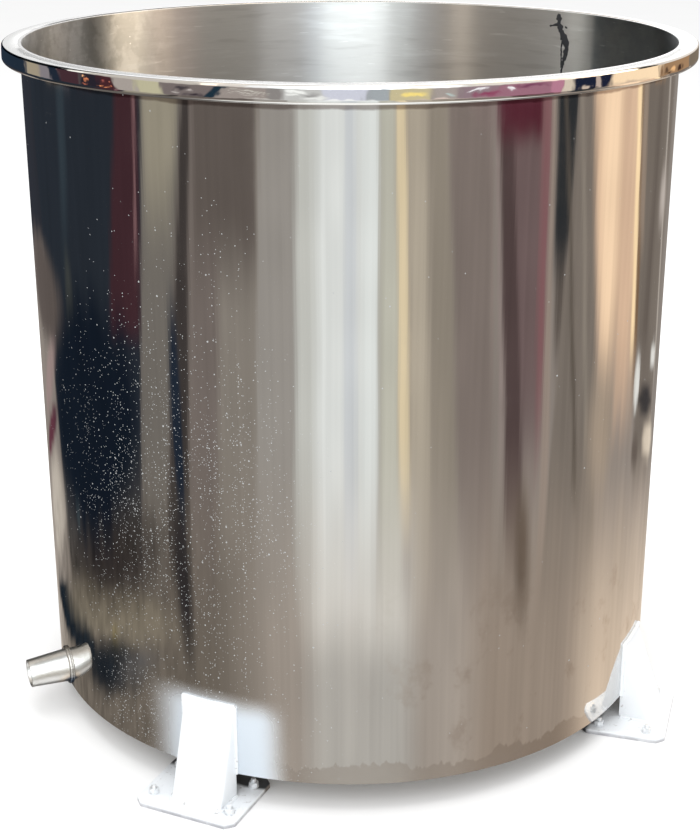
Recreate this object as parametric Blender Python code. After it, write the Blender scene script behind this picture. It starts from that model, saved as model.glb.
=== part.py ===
"""Open paint mixing tank of polished stainless sheet, standing on four welded feet.

Metres, +Z up. The origin is on the tank's axis at floor level. Azimuths are in degrees from +X,
anticlockwise seen from above, and -Y is the front.
"""
import math

import bmesh
import bpy
from mathutils import Vector

# Driving dimensions
SHELL_RADIUS = 0.500            # outside of the rolled wall
SHEET = 0.003                   # wall and floor sheet
TANK_TOP = 1.062                # top of the rim above the floor
TANK_BOTTOM = 0.045             # lower edge of the wall above the floor
RIM_WIDTH = 0.027               # section of the rim ring, radially
RIM_HEIGHT = 0.024
RIM_EDGE_RADIUS = 0.0025

NOZZLE_AZIMUTH = -157.5
NOZZLE_HEIGHT = 0.073           # axis above the floor where it meets the wall
NOZZLE_FALL = 3.0               # degrees down, so that the tank drains
NOZZLE_LENGTH = 0.065           # from the wall to the open end
NOZZLE_ROOT_RADIUS = 0.027
NOZZLE_END_RADIUS = 0.0225
NOZZLE_WALL = 0.0026
NOZZLE_TAIL = 0.020             # cut back to the wall's curve
DRAIN_SEGMENT_TOP = 0.110       # top of the wall segment that the stub is welded to

LEG_WIDTH = 0.084               # folded bracket, across its outer face
LEG_SHEET = 0.005
LEG_TOP_LEDGE = 0.002           # flat left at the top for the weld
LEG_FOOT_RADIUS = 0.550         # outer face of the bracket where it meets its plate
LEG_FOLD_RADIUS = 0.006

PLATE_LENGTH = 0.135            # base plate, radially
PLATE_WIDTH = 0.165
PLATE_THICKNESS = 0.008
PLATE_CHAMFER = 0.012
PLATE_OUTER_RADIUS = 0.573

BOLT_RADIUS = 0.004             # M8 studs through the base plates
BOLT_HOLE_RADIUS = 0.0045
BOLT_TOP = 0.0225               # above the floor
NUT_ACROSS_FLATS = 0.013
NUT_HEIGHT = 0.0065
WASHER_RADIUS = 0.008
WASHER_THICKNESS = 0.0016
BOLT_OFFSETS = ((-0.038, -0.064), (-0.038, 0.064), (0.038, -0.064), (0.038, 0.064))

# Each foot: name, azimuth and top of its bracket, sideways shift and turn of its plate as welded
FEET = (
    ("front", -114.5, 0.158, -0.010, 0.0),
    ("right", -24.5, 0.137, -0.013, 8.0),
    ("back", 65.5, 0.158, -0.010, 0.0),
    ("left", 155.5, 0.137, -0.010, 0.0),
)

# Fine values
GAP = 0.0003                    # between pieces that are welded or seated together
ROUND_STEPS = 96                # facets around the tank
SMALL_STEPS = 36                # facets around the nozzle
HOLE_STEPS = 12
BOLT_STEPS = 12
CORNER_STEPS = 3                # facets in a rounded corner
OVERRUN = 0.010                 # how far a cutter runs past what it cuts
SHARP_ANGLE = math.radians(30)


def clear_scene():
    for obj in list(bpy.data.objects):
        bpy.data.objects.remove(obj)


def make_material(name, colour, roughness, metallic):
    material = bpy.data.materials.new(name)
    material.use_nodes = True
    shader = material.node_tree.nodes["Principled BSDF"]
    shader.inputs["Base Color"].default_value = (*colour, 1.0)
    shader.inputs["Roughness"].default_value = roughness
    shader.inputs["Metallic"].default_value = metallic
    return material


def add_object(name, bm, material=None, parent=None):
    """Closes bm into a mesh with its faces pointing out, and links it under a name."""
    bmesh.ops.recalc_face_normals(bm, faces=bm.faces)
    mesh = bpy.data.meshes.new(name)
    bm.to_mesh(mesh)
    bm.free()
    mesh.shade_smooth()
    mesh.set_sharp_from_angle(angle=SHARP_ANGLE)
    obj = bpy.data.objects.new(name, mesh)
    bpy.context.scene.collection.objects.link(obj)
    if material:
        mesh.materials.append(material)
    obj.parent = parent
    return obj


def add_cutter(name, bm, parent=None):
    cutter = add_object(name, bm, parent=parent)
    cutter.hide_render = True
    cutter.display_type = "WIRE"
    return cutter


def cut(obj, cutter):
    modifier = obj.modifiers.new("cut_" + cutter.name, "BOOLEAN")
    modifier.operation = "DIFFERENCE"
    modifier.solver = "EXACT"
    modifier.object = cutter


def add_empty(name, azimuth=0.0):
    empty = bpy.data.objects.new(name, None)
    empty.rotation_euler.z = math.radians(azimuth)
    bpy.context.scene.collection.objects.link(empty)
    return empty


def turned(profile, azimuths, whole=True):
    """Turns a closed profile of (radius, z) points about Z through the given azimuths."""
    bm = bmesh.new()
    rings = []
    for azimuth in azimuths:
        angle = math.radians(azimuth)
        points = [(r * math.cos(angle), r * math.sin(angle), z) for r, z in profile]
        rings.append([bm.verts.new(point) for point in points])
    pairs = list(zip(rings, rings[1:]))
    if whole:
        pairs.append((rings[-1], rings[0]))
    count = len(profile)
    for ring, following in pairs:
        for i in range(count):
            j = (i + 1) % count
            bm.faces.new((ring[i], ring[j], following[j], following[i]))
    if not whole:
        bm.faces.new(rings[0])
        bm.faces.new(reversed(rings[-1]))
    return bm


def stacked(sections):
    """Skins a stack of closed sections with equal point counts and caps its two ends."""
    bm = bmesh.new()
    rings = [[bm.verts.new(point) for point in section] for section in sections]
    count = len(sections[0])
    for ring, following in zip(rings, rings[1:]):
        for i in range(count):
            j = (i + 1) % count
            bm.faces.new((ring[i], ring[j], following[j], following[i]))
    bm.faces.new(reversed(rings[0]))
    bm.faces.new(rings[-1])
    return bm


def prism(outline, depth):
    """Extrudes an (x, z) outline symmetrically along Y to the given full depth."""
    half = depth / 2
    return stacked([[(x, side * half, z) for x, z in outline] for side in (-1, 1)])


def circle(radius, z, steps):
    turns = [2 * math.pi * i / steps for i in range(steps)]
    return [(radius * math.cos(t), radius * math.sin(t), z) for t in turns]


def hexagon(across_flats, z, steps):
    """A hexagon at height z, with steps points spread evenly in angle along its sides."""
    points = []
    for i in range(steps):
        turn = 2 * math.pi * i / steps
        from_flat = (turn + math.pi / 6) % (math.pi / 3) - math.pi / 6
        radius = across_flats / 2 / math.cos(from_flat)
        points.append((radius * math.cos(turn), radius * math.sin(turn), z))
    return points


def full_turn(steps=ROUND_STEPS):
    return [360 * i / steps for i in range(steps)]


def make_shell_envelope():
    """Cutter that leaves the pieces welded to the wall with their weld gap."""
    bottom = TANK_BOTTOM - SHELL_RADIUS
    top = TANK_TOP + SHELL_RADIUS
    bm = stacked([circle(SHELL_RADIUS + GAP, z, ROUND_STEPS) for z in (bottom, top)])
    return add_cutter("cutter_shell_envelope", bm)


def nozzle_axis():
    azimuth = math.radians(NOZZLE_AZIMUTH)
    fall = math.radians(NOZZLE_FALL)
    level = math.cos(fall)
    return Vector((level * math.cos(azimuth), level * math.sin(azimuth), -math.sin(fall)))


def place_on_nozzle_axis(obj):
    azimuth = math.radians(NOZZLE_AZIMUTH)
    obj.location = (SHELL_RADIUS * math.cos(azimuth), SHELL_RADIUS * math.sin(azimuth), NOZZLE_HEIGHT)
    obj.rotation_euler = nozzle_axis().to_track_quat("Z", "Y").to_euler()


def make_wall_segment(name, first, last, bottom, top, material):
    """Part of the rolled wall between two azimuths and two heights."""
    inner = SHELL_RADIUS - SHEET
    profile = ((inner, bottom), (SHELL_RADIUS, bottom), (SHELL_RADIUS, top), (inner, top))
    steps = round((last - first) * ROUND_STEPS / 360)
    azimuths = [first + (last - first) * i / steps for i in range(steps + 1)]
    seam = math.degrees(GAP / 2 / SHELL_RADIUS)
    azimuths[0] += seam
    azimuths[-1] -= seam
    return add_object(name, turned(profile, azimuths, whole=False), material)


def make_shell(material):
    """The rolled wall, in segments that meet at the right and beside and over the drain."""
    facet = 360 / ROUND_STEPS
    left = NOZZLE_AZIMUTH - facet
    right = NOZZLE_AZIMUTH + facet
    make_wall_segment("shell_wall_front", right, 0, TANK_BOTTOM, TANK_TOP, material)
    make_wall_segment("shell_wall_back", 0, 360 + left, TANK_BOTTOM, TANK_TOP, material)
    over = DRAIN_SEGMENT_TOP + GAP
    make_wall_segment("shell_wall_over_drain", left, right, over, TANK_TOP, material)
    at_drain = make_wall_segment(
        "shell_wall_at_drain", left, right, TANK_BOTTOM, DRAIN_SEGMENT_TOP, material
    )
    root_bore = NOZZLE_ROOT_RADIUS - NOZZLE_WALL
    bm = stacked([circle(root_bore, z, SMALL_STEPS) for z in (-NOZZLE_TAIL, NOZZLE_TAIL)])
    bore = add_cutter("cutter_drain_bore", bm)
    place_on_nozzle_axis(bore)
    cut(at_drain, bore)


def make_floor(material):
    radius = SHELL_RADIUS - SHEET - GAP
    sections = [circle(radius, z, ROUND_STEPS) for z in (TANK_BOTTOM, TANK_BOTTOM + SHEET)]
    add_object("floor_plate", stacked(sections), material)


def rim_profile():
    """Section of the rim ring, with its two outer corners rounded."""
    inner = SHELL_RADIUS + GAP
    outer = SHELL_RADIUS + RIM_WIDTH
    bottom = TANK_TOP - RIM_HEIGHT
    points = [(inner, TANK_TOP), (inner, bottom)]
    for centre_z, first in ((bottom + RIM_EDGE_RADIUS, -90), (TANK_TOP - RIM_EDGE_RADIUS, 0)):
        for i in range(CORNER_STEPS + 1):
            turn = math.radians(first + 90 * i / CORNER_STEPS)
            r = outer - RIM_EDGE_RADIUS + RIM_EDGE_RADIUS * math.cos(turn)
            points.append((r, centre_z + RIM_EDGE_RADIUS * math.sin(turn)))
    return points


def make_rim(material):
    add_object("rim_ring", turned(rim_profile(), full_turn()), material)


def make_nozzle(material, envelope):
    """Tapered drain stub; its root is cut to the wall's curve."""
    taper = (NOZZLE_ROOT_RADIUS - NOZZLE_END_RADIUS) / NOZZLE_LENGTH
    tail_radius = NOZZLE_ROOT_RADIUS + taper * NOZZLE_TAIL
    profile = (
        (tail_radius - NOZZLE_WALL, -NOZZLE_TAIL),
        (tail_radius, -NOZZLE_TAIL),
        (NOZZLE_END_RADIUS, NOZZLE_LENGTH),
        (NOZZLE_END_RADIUS - NOZZLE_WALL, NOZZLE_LENGTH),
    )
    nozzle = add_object("drain_nozzle", turned(profile, full_turn(SMALL_STEPS)), material)
    place_on_nozzle_axis(nozzle)
    cut(nozzle, envelope)


def leg_outline(top, inset=0.0):
    """Side view of a bracket, or of the hollow inside it when inset is its sheet."""
    base = PLATE_THICKNESS + GAP
    top_radius = SHELL_RADIUS + GAP + LEG_TOP_LEDGE
    slope = (LEG_FOOT_RADIUS - top_radius) / (top - base)
    inner = SHELL_RADIUS - LEG_WIDTH / 2
    if not inset:
        return ((inner, base), (LEG_FOOT_RADIUS, base), (top_radius, top), (inner, top))
    back = inner - OVERRUN
    foot = LEG_FOOT_RADIUS - inset * math.hypot(1, slope) + slope * OVERRUN
    return ((back, base - OVERRUN), (foot, base - OVERRUN), (back, base - OVERRUN + (foot - back) / slope))


def make_leg_mesh(top):
    """Solid bracket blank with the two folds rounded along its sloping face."""
    bm = prism(leg_outline(top), LEG_WIDTH)
    folds = []
    for edge in bm.edges:
        low, high = sorted((vert.co for vert in edge.verts), key=lambda co: co.z)
        if low.x > SHELL_RADIUS and high.z - low.z > top / 2:
            folds.append(edge)
    bmesh.ops.bevel(bm, geom=folds, offset=LEG_FOLD_RADIUS, segments=CORNER_STEPS,
                    profile=0.5, affect="EDGES")
    return bm


def make_leg(name, top, foot, material, envelope):
    """Folded bracket: a sloping outer face with a cheek on each side, open to the tank."""
    leg = add_object("leg_bracket_" + name, make_leg_mesh(top), material, foot)
    hollow = prism(leg_outline(top, LEG_SHEET), LEG_WIDTH - 2 * LEG_SHEET)
    cut(leg, add_cutter("cutter_leg_hollow_" + name, hollow, foot))
    cut(leg, envelope)


def plate_outline():
    half_x = PLATE_LENGTH / 2
    half_y = PLATE_WIDTH / 2
    c = PLATE_CHAMFER
    quarter = ((half_x, half_y - c), (half_x - c, half_y))
    points = []
    for sign_x, sign_y in ((1, 1), (-1, 1), (-1, -1), (1, -1)):
        corner = [(sign_x * x, sign_y * y) for x, y in quarter]
        points += corner if sign_x * sign_y > 0 else corner[::-1]
    return points


def make_plate(name, plate_frame, material):
    """Base plate with a clearance hole for each stud."""
    sections = [[(x, y, z) for x, y in plate_outline()] for z in (0.0, PLATE_THICKNESS)]
    plate = add_object("base_plate_" + name, stacked(sections), material, plate_frame)
    for number, (x, y) in enumerate(BOLT_OFFSETS, start=1):
        ends = (-OVERRUN, PLATE_THICKNESS + OVERRUN)
        hole = add_cutter(
            "cutter_hole_%s_%d" % (name, number),
            stacked([circle(BOLT_HOLE_RADIUS, z, HOLE_STEPS) for z in ends]),
            plate_frame,
        )
        hole.location = (x, y, 0)
        cut(plate, hole)


def make_bolts(name, plate_frame, material):
    """Stud, washer and nut on each hole of a base plate."""
    washer_base = PLATE_THICKNESS + GAP
    nut_base = washer_base + WASHER_THICKNESS
    nut_top = nut_base + NUT_HEIGHT
    sections = (
        circle(BOLT_RADIUS, GAP, BOLT_STEPS),
        circle(BOLT_RADIUS, washer_base, BOLT_STEPS),
        circle(WASHER_RADIUS, washer_base, BOLT_STEPS),
        circle(WASHER_RADIUS, nut_base, BOLT_STEPS),
        hexagon(NUT_ACROSS_FLATS, nut_base, BOLT_STEPS),
        hexagon(NUT_ACROSS_FLATS, nut_top, BOLT_STEPS),
        circle(BOLT_RADIUS, nut_top, BOLT_STEPS),
        circle(BOLT_RADIUS, BOLT_TOP, BOLT_STEPS),
    )
    for number, (x, y) in enumerate(BOLT_OFFSETS, start=1):
        bolt = add_object("stud_%s_%d" % (name, number), stacked(sections), material, plate_frame)
        bolt.location = (x, y, 0)


def make_foot(name, azimuth, top, shift, turn, envelope, paint, zinc):
    foot = add_empty("foot_" + name, azimuth)
    make_leg(name, top, foot, paint, envelope)
    plate_frame = add_empty("plate_frame_" + name, turn)
    plate_frame.parent = foot
    plate_frame.location = (PLATE_OUTER_RADIUS - PLATE_LENGTH / 2, shift, 0)
    make_plate(name, plate_frame, paint)
    make_bolts(name, plate_frame, zinc)


def main():
    clear_scene()
    polished = make_material("polished_steel", (0.62, 0.60, 0.58), 0.12, 1.0)
    satin = make_material("satin_steel", (0.60, 0.60, 0.60), 0.30, 1.0)
    paint = make_material("white_paint", (0.86, 0.88, 0.90), 0.45, 0.0)
    zinc = make_material("zinc_plate", (0.70, 0.71, 0.72), 0.35, 1.0)
    envelope = make_shell_envelope()
    make_shell(polished)
    make_floor(satin)
    make_rim(polished)
    make_nozzle(satin, envelope)
    for name, azimuth, top, shift, turn in FEET:
        make_foot(name, azimuth, top, shift, turn, envelope, paint, zinc)


main()
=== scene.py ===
import math

import bmesh
import bpy
import numpy as np
from mathutils import Matrix, Vector


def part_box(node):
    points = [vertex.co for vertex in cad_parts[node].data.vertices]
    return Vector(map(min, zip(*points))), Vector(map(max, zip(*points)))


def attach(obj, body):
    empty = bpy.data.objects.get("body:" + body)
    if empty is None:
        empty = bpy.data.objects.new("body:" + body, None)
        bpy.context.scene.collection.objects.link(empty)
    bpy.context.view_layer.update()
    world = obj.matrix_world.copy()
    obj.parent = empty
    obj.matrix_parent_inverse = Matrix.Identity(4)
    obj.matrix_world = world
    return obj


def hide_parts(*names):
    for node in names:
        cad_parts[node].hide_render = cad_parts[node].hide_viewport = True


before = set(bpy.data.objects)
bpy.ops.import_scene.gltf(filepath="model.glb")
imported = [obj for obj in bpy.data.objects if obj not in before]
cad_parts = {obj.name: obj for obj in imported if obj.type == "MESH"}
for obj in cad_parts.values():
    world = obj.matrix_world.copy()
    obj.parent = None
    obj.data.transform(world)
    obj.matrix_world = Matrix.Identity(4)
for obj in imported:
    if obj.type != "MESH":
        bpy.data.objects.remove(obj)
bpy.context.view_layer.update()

# Driving dimensions, in metres and degrees. Azimuths run anticlockwise from +X, and -Y is the front.
WALL_LOW, WALL_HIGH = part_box("shell_wall_front")
RIM_LOW, RIM_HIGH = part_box("rim_ring")
RADIUS = round(WALL_HIGH.x, 3)              # outside of the rolled wall
SHEET = 0.003
WALL_BOTTOM = WALL_LOW.z
TOP = RIM_HIGH.z
RIM_RADIUS = RIM_HIGH.x
RIM_BOTTOM = RIM_LOW.z
INNER_RADIUS = RADIUS - SHEET
GAP = 0.0003                                # between pieces that touch
EDGE_EASE = 0.0006                          # on the edges of the wall and the rim
ROUND_STEPS = 384                           # facets around the tank

NOZZLE_AZIMUTH = -157.5
NOZZLE_HEIGHT = 0.073
NOZZLE_FALL = 3.0
NOZZLE_LENGTH = 0.065
NOZZLE_ROOT_RADIUS = 0.027
NOZZLE_END_RADIUS = 0.0225
NOZZLE_WALL = 0.0026

# Feet: name, azimuth, how far the base plate stands aside, how many degrees it is turned
FEET = (("front", -114.5, -0.010, 0.0), ("right", -24.5, -0.013, 8.0),
        ("back", 65.5, -0.010, 0.0), ("left", 155.5, -0.010, 0.0))
LEG_WIDTH = 0.084
LEG_HALF = LEG_WIDTH / 2
LEG_SHEET = 0.005
LEG_TOP_RADIUS = 0.5023
LEG_FOOT_RADIUS = 0.550
LEG_FOLD_RADIUS = 0.007
PLATE_LENGTH = 0.135
PLATE_WIDTH = 0.165
PLATE_THICKNESS = 0.008
LEG_BOTTOM = PLATE_THICKNESS + GAP          # brackets and washers stand on the base plates
PLATE_CHAMFER = 0.012
PLATE_RADIUS = 0.5055                       # middle of each base plate from the tank's axis
BOLT_OFFSETS = ((-0.038, -0.064), (-0.038, 0.064), (0.038, -0.064), (0.038, 0.064))
BOLT_RADIUS = 0.004
BOLT_HOLE_RADIUS = 0.0045
BOLT_TOP = 0.0225
THREAD_PITCH = 0.00125
NUT_ACROSS_FLATS = 0.013
NUT_HEIGHT = 0.0065
WASHER_RADIUS = 0.008
WASHER_THICKNESS = 0.0016

CAMERA_DISTANCE = 2.495                     # in front of the tank's axis
CAMERA_ABOVE_RIM = 0.2936
CAMERA_TILT = 20.19                         # degrees down
CAMERA_LENS = 68.85                         # on a 36 mm sensor side

RIM_LEAN = 2.0                              # degrees that the rim's outer face leans back
RIM_BULGE = 1.5                             # degrees more at its top, fewer at its foot
RIM_TOP_ROUND = 0.0030                      # corners of the rim's outer face
RIM_FOOT_ROUND = 0.0042

# Weld beads: radius, and length of one ripple
FLOOR_BEAD = (0.0034, 0.0090)
DRAIN_BEAD = (0.0031, 0.0042)
CHEEK_BEAD = (0.0034, 0.0055)
FOOT_BEAD = (0.0032, 0.0055)

FLOOR_RADIUS = 60.0
SURROUND_RADIUS = 300.0
STEEL_SHADE = (0.66, 0.645, 0.63)           # what polished steel gives back of the light on it


# Numbers and points

def smooth_step(value, start, end):
    """0 up to start, 1 from end on, and smooth between them."""
    share = np.clip((value - start) / (end - start), 0.0, 1.0)
    return share * share * (3 - 2 * share)


def value_noise(u, v, seed):
    """Smooth random values from -1 to 1 over the plane."""
    size = 64
    lattice = np.random.default_rng(seed).uniform(-1, 1, (size, size))
    iu, iv = np.floor(u).astype(int), np.floor(v).astype(int)
    fu, fv = smooth_step(u - iu, 0, 1), smooth_step(v - iv, 0, 1)

    def row(j):
        return lattice[iu % size, j % size] * (1 - fu) + lattice[(iu + 1) % size, j % size] * fu

    return row(iv) * (1 - fv) + row(iv + 1) * fv


def turns(steps):
    """Angles at even steps all the way round."""
    return [2 * math.pi * i / steps for i in range(steps)]


def around(radius, turn, height):
    """Point at a radius, an angle and a height about the Z axis."""
    return Vector((radius * math.cos(turn), radius * math.sin(turn), height))


def spin(degrees):
    """Matrix that turns about the Z axis."""
    return Matrix.Rotation(math.radians(degrees), 4, "Z")


def mirrored(points):
    """One side's points again for the side across Y, in the opposite order."""
    return [(x, -y, *rest) for x, y, *rest in reversed(points)]


def arc(centre_r, centre_z, radius, first, last, steps):
    """Points of a round stretch of a profile, from one angle to another in degrees."""
    points = []
    for i in range(steps + 1):
        turn = math.radians(first + (last - first) * i / steps)
        points.append((centre_r + radius * math.cos(turn), centre_z + radius * math.sin(turn)))
    return points


def smooth_path(points, step):
    """Points at even steps along a straight-sided path."""
    result = []
    for a, b in zip(points, points[1:]):
        parts = max(1, round((b - a).length / step))
        result += [a.lerp(b, i / parts) for i in range(parts)]
    return result + [points[-1]]


# Meshes

def add_object(name, data):
    """A new object of the scene."""
    made = bpy.data.objects.new(name, data)
    bpy.context.scene.collection.objects.link(made)
    return made


def add_solid(name, bm):
    """Turns a closed bmesh's faces outwards and makes an object of it."""
    bmesh.ops.recalc_face_normals(bm, faces=bm.faces)
    mesh = bpy.data.meshes.new(name)
    bm.to_mesh(mesh)
    bm.free()
    return add_object(name, mesh)


def shade_smooth(mesh, sharp=30):
    """Smooth shading, but for edges sharper than an angle in degrees."""
    mesh.shade_smooth()
    mesh.set_sharp_from_angle(angle=math.radians(sharp))


def add_piece(name, bm, materials, replaced=(), sharp=30):
    """Makes a smooth shaded piece that rides on the tank and stands for CAD nodes."""
    piece = add_solid(name, bm)
    shade_smooth(piece.data, sharp)
    for material in materials:
        piece.data.materials.append(material)
    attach(piece, "root")
    if replaced:
        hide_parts(*replaced)
    return piece


def cut_away(piece, cutters):
    """Cuts closed bmeshes out of a piece and leaves no modifier on it."""
    helpers = [add_solid("cutter", bm) for bm in cutters]
    for helper in helpers:
        modifier = piece.modifiers.new("cut", "BOOLEAN")
        modifier.operation = "DIFFERENCE"
        modifier.solver = "EXACT"
        modifier.object = helper
    graph = bpy.context.evaluated_depsgraph_get()
    mesh = bpy.data.meshes.new_from_object(piece.evaluated_get(graph))
    piece.modifiers.clear()
    piece.data = mesh
    shade_smooth(mesh)
    for helper in helpers:
        bpy.data.objects.remove(helper)


def skin(bm, rings, round_trip=False, index=None):
    """Joins closed rings of vertices with quads; index gives the material of each quad of a ring."""
    pairs = list(zip(rings, rings[1:]))
    if round_trip:
        pairs.append((rings[-1], rings[0]))
    count = len(rings[0])
    for ring, following in pairs:
        for i in range(count):
            j = (i + 1) % count
            face = bm.faces.new((ring[i], ring[j], following[j], following[i]))
            if index:
                face.material_index = index[i]


def skin_and_close(bm, rings):
    """Joins rings of vertices and closes both ends."""
    skin(bm, rings)
    bm.faces.new(rings[0][::-1])
    bm.faces.new(rings[-1])


def stack(bm, levels, steps, matrix=Matrix()):
    """A solid of circles, given by radius and height, one above the other."""
    rings = [[bm.verts.new(matrix @ around(r, turn, z)) for turn in turns(steps)] for r, z in levels]
    skin_and_close(bm, rings)


def cylinder(radius, low, high, steps, matrix):
    bm = bmesh.new()
    stack(bm, ((radius, low), (radius, high)), steps, matrix)
    return bm


def sweep_round(bm, profile_at, steps, matrix=Matrix(), index=None):
    """A ring whose closed section of (radius, height) points profile_at gives for each angle."""
    rings = []
    for turn in turns(steps):
        rings.append([bm.verts.new(matrix @ around(r, turn, z)) for r, z in profile_at(turn)])
    skin(bm, rings, round_trip=True, index=index)


def revolve(profile, index=None):
    """A ring about the tank's axis with the same section all round."""
    bm = bmesh.new()
    sweep_round(bm, lambda turn: profile, ROUND_STEPS, index=index)
    return bm


def tube(bm, path, radii, sides, closed):
    """A round tube along a path, with a radius at each point; its ends meet or are closed."""
    rings = []
    count = len(path)
    side = None
    for i, point in enumerate(path):
        before = path[(i - 1) % count] if closed or i else point
        after = path[(i + 1) % count] if closed or i < count - 1 else point
        along = (after - before).normalized()
        if side is None:
            side = along.orthogonal().normalized()
        side = (side - along * side.dot(along)).normalized()
        other = along.cross(side)
        offsets = [side * math.cos(turn) + other * math.sin(turn) for turn in turns(sides)]
        rings.append([bm.verts.new(point + offset * radii[i]) for offset in offsets])
    if closed:
        gaps = [(rings[-1][0].co - vert.co).length for vert in rings[0]]
        twist = gaps.index(min(gaps))
        skin(bm, rings + [rings[0][twist:] + rings[0][:twist]])
    else:
        skin_and_close(bm, rings)


def weld_bead(bm, path, bead, sides, closed=False):
    """A tube with a weld's ripples and slight unevenness, thinner at its open ends."""
    radius, pitch = bead
    radii = []
    length = 0.0
    for before, point in zip([path[0], *path], path):
        length += (point - before).length
        ripple = abs(math.sin(math.pi * length / pitch))
        drift = math.sin(length * 190.0) * math.cos(length * 73.0)
        radii.append(radius * (0.93 + 0.09 * ripple + 0.08 * drift))
    if not closed:
        radii[0] *= 0.5
        radii[-1] *= 0.5
    tube(bm, path, radii, sides, closed)


# Shader nodes

class Net:
    """A material, with a short way of writing its nodes."""

    def __init__(self, name):
        self.material = bpy.data.materials.new(name)
        self.material.use_nodes = True
        self.tree = self.material.node_tree
        self.shader = self.tree.nodes["Principled BSDF"]
        self.where = self.add("ShaderNodeTexCoord").outputs["Object"]

    def add(self, kind, settings=None, **inputs):
        made = self.tree.nodes.new(kind)
        for key, value in (settings or {}).items():
            setattr(made, key, value)
        self.feed_inputs(made, inputs)
        return made

    def feed(self, socket, value):
        """Links a socket to another, or sets its value; colours may leave out their alpha."""
        if isinstance(value, bpy.types.NodeSocket):
            self.tree.links.new(value, socket)
        elif socket.type == "RGBA" and len(value) == 3:
            socket.default_value = (*value, 1.0)
        else:
            socket.default_value = value

    def feed_inputs(self, node, inputs):
        for key, value in inputs.items():
            self.feed(node.inputs[key.replace("_", " ")], value)

    def finish(self, metallic, colour, roughness, normal=None, **others):
        """Feeds the shader and gives the material."""
        inputs = {"Metallic": metallic, "Base Color": colour, "Roughness": roughness, **others}
        if normal is not None:
            inputs["Normal"] = normal
        self.feed_inputs(self.shader, inputs)
        return self.material

    def math(self, operation, *values):
        made = self.add("ShaderNodeMath", {"operation": operation})
        for socket, value in zip(made.inputs, values):
            self.feed(socket, value)
        return made.outputs[0]

    def chain(self, operation, values):
        """One operation over several values, from the first on."""
        result = values[0]
        for value in values[1:]:
            result = self.math(operation, result, value)
        return result

    def product(self, *values):
        return self.chain("MULTIPLY", values)

    def largest(self, *values):
        return self.chain("MAXIMUM", values)

    def rest(self, value):
        """What a value leaves of 1."""
        return self.math("SUBTRACT", 1.0, value)

    def lift(self, value, factor, base):
        """A value times a factor, on top of a base."""
        return self.math("MULTIPLY_ADD", value, factor, base)

    def smooth(self, value, start, end, low=0.0, high=1.0):
        """Smooth step of a value from low at start to high at end."""
        made = self.add("ShaderNodeMapRange", {"interpolation_type": "SMOOTHSTEP"}, Value=value,
                        From_Min=start, From_Max=end, To_Min=low, To_Max=high)
        return made.outputs["Result"]

    def mix(self, factor, first, second):
        """The first colour where the factor is 0, the second where it is 1."""
        made = self.add("ShaderNodeMix", {"data_type": "RGBA"}, Factor=factor)
        colours = [socket for socket in made.inputs if socket.type == "RGBA"]
        self.feed(colours[0], first)
        self.feed(colours[1], second)
        return [socket for socket in made.outputs if socket.type == "RGBA"][0]

    def layers(self, colour, *layers):
        """A colour with others laid over it, each where its mask is 1."""
        for mask, over in layers:
            colour = self.mix(mask, colour, over)
        return colour

    def split(self, vector):
        return self.add("ShaderNodeSeparateXYZ", Vector=vector).outputs

    def scaled(self, x, y, z):
        """Object coordinates, each times a factor; a small one draws a pattern out that way."""
        return self.add("ShaderNodeMapping", Vector=self.where, Scale=(x, y, z)).outputs[0]

    def from_axis(self):
        """Distance from the tank's axis."""
        xyz = self.split(self.where)
        squares = [self.math("POWER", value, 2.0) for value in xyz[:2]]
        return self.math("SQRT", self.math("ADD", *squares))

    def noise(self, scale, detail, roughness=0.5, vector=None):
        """Noise over object coordinates, or over those given."""
        made = self.add("ShaderNodeTexNoise", Vector=vector or self.where, Scale=scale, Detail=detail,
                        Roughness=roughness)
        return made.outputs["Fac"]

    def near(self, point, inner, outer, vector=None):
        """1 within the inner distance of a point, falling to 0 at the outer one."""
        gap = self.add("ShaderNodeVectorMath", {"operation": "DISTANCE"})
        self.feed(gap.inputs[0], vector or self.where)
        self.feed(gap.inputs[1], point)
        return self.smooth(gap.outputs["Value"], inner, outer, 1.0, 0.0)

    def specks(self, scale, size, share):
        """Scattered dots of about the given radius; share (0 to 1, or a socket) says how many stay."""
        cells = self.add("ShaderNodeTexVoronoi", {"feature": "F1"}, Vector=self.where, Scale=scale)
        chance = self.split(cells.outputs["Color"])
        radius = self.lift(chance[1], size * scale * 0.7, size * scale * 0.5)
        inside = self.math("LESS_THAN", cells.outputs["Distance"], radius)
        return self.product(inside, self.math("LESS_THAN", chance[0], share))

    def bump(self, height, distance, normal=None, strength=1.0):
        made = self.add("ShaderNodeBump", Strength=strength, Distance=distance, Height=height)
        if normal is not None:
            self.feed(made.inputs["Normal"], normal)
        return made.outputs["Normal"]


# Materials

# Where the dust on the wall is thickest: middle, reach, share of the dots that stay
DUST_CLOUDS = (((-0.262, -0.426, 0.46), 0.30, 1.0), ((-0.315, -0.388, 0.13), 0.15, 0.8),
               ((-0.160, -0.474, 0.16), 0.17, 0.35), ((-0.200, -0.458, 0.50), 0.20, 1.0),
               ((-0.215, -0.451, 0.78), 0.15, 0.22))
# Dust: scale of the pattern, radius of a dot, share of them that stays in a cloud and outside it
DUST_SIZES = ((115.0, 0.0012, 0.40, 0.006), (185.0, 0.0009, 0.80, 0.005), (300.0, 0.0007, 1.0, 0.002))
# Mist of white paint on the wall beside the brackets, which also paints the glow of the bright feet:
# azimuths where it starts and is full on both sides, its top, how thick it is
PAINT_MIST_AND_GLOW = ((-128.0, -118.0, -106.0, -99.4, 0.164, 0.91), (-34.0, -29.0, -20.0, -15.0, 0.13, 0.35),
             (54.5, 61.5, 69.5, 76.5, 0.162, 0.6), (144.5, 151.5, 159.5, 166.5, 0.14, 0.6))
TINT_POINT = (-0.4545, -0.2085, 0.0530)     # lower side of the drain's weld
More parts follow.
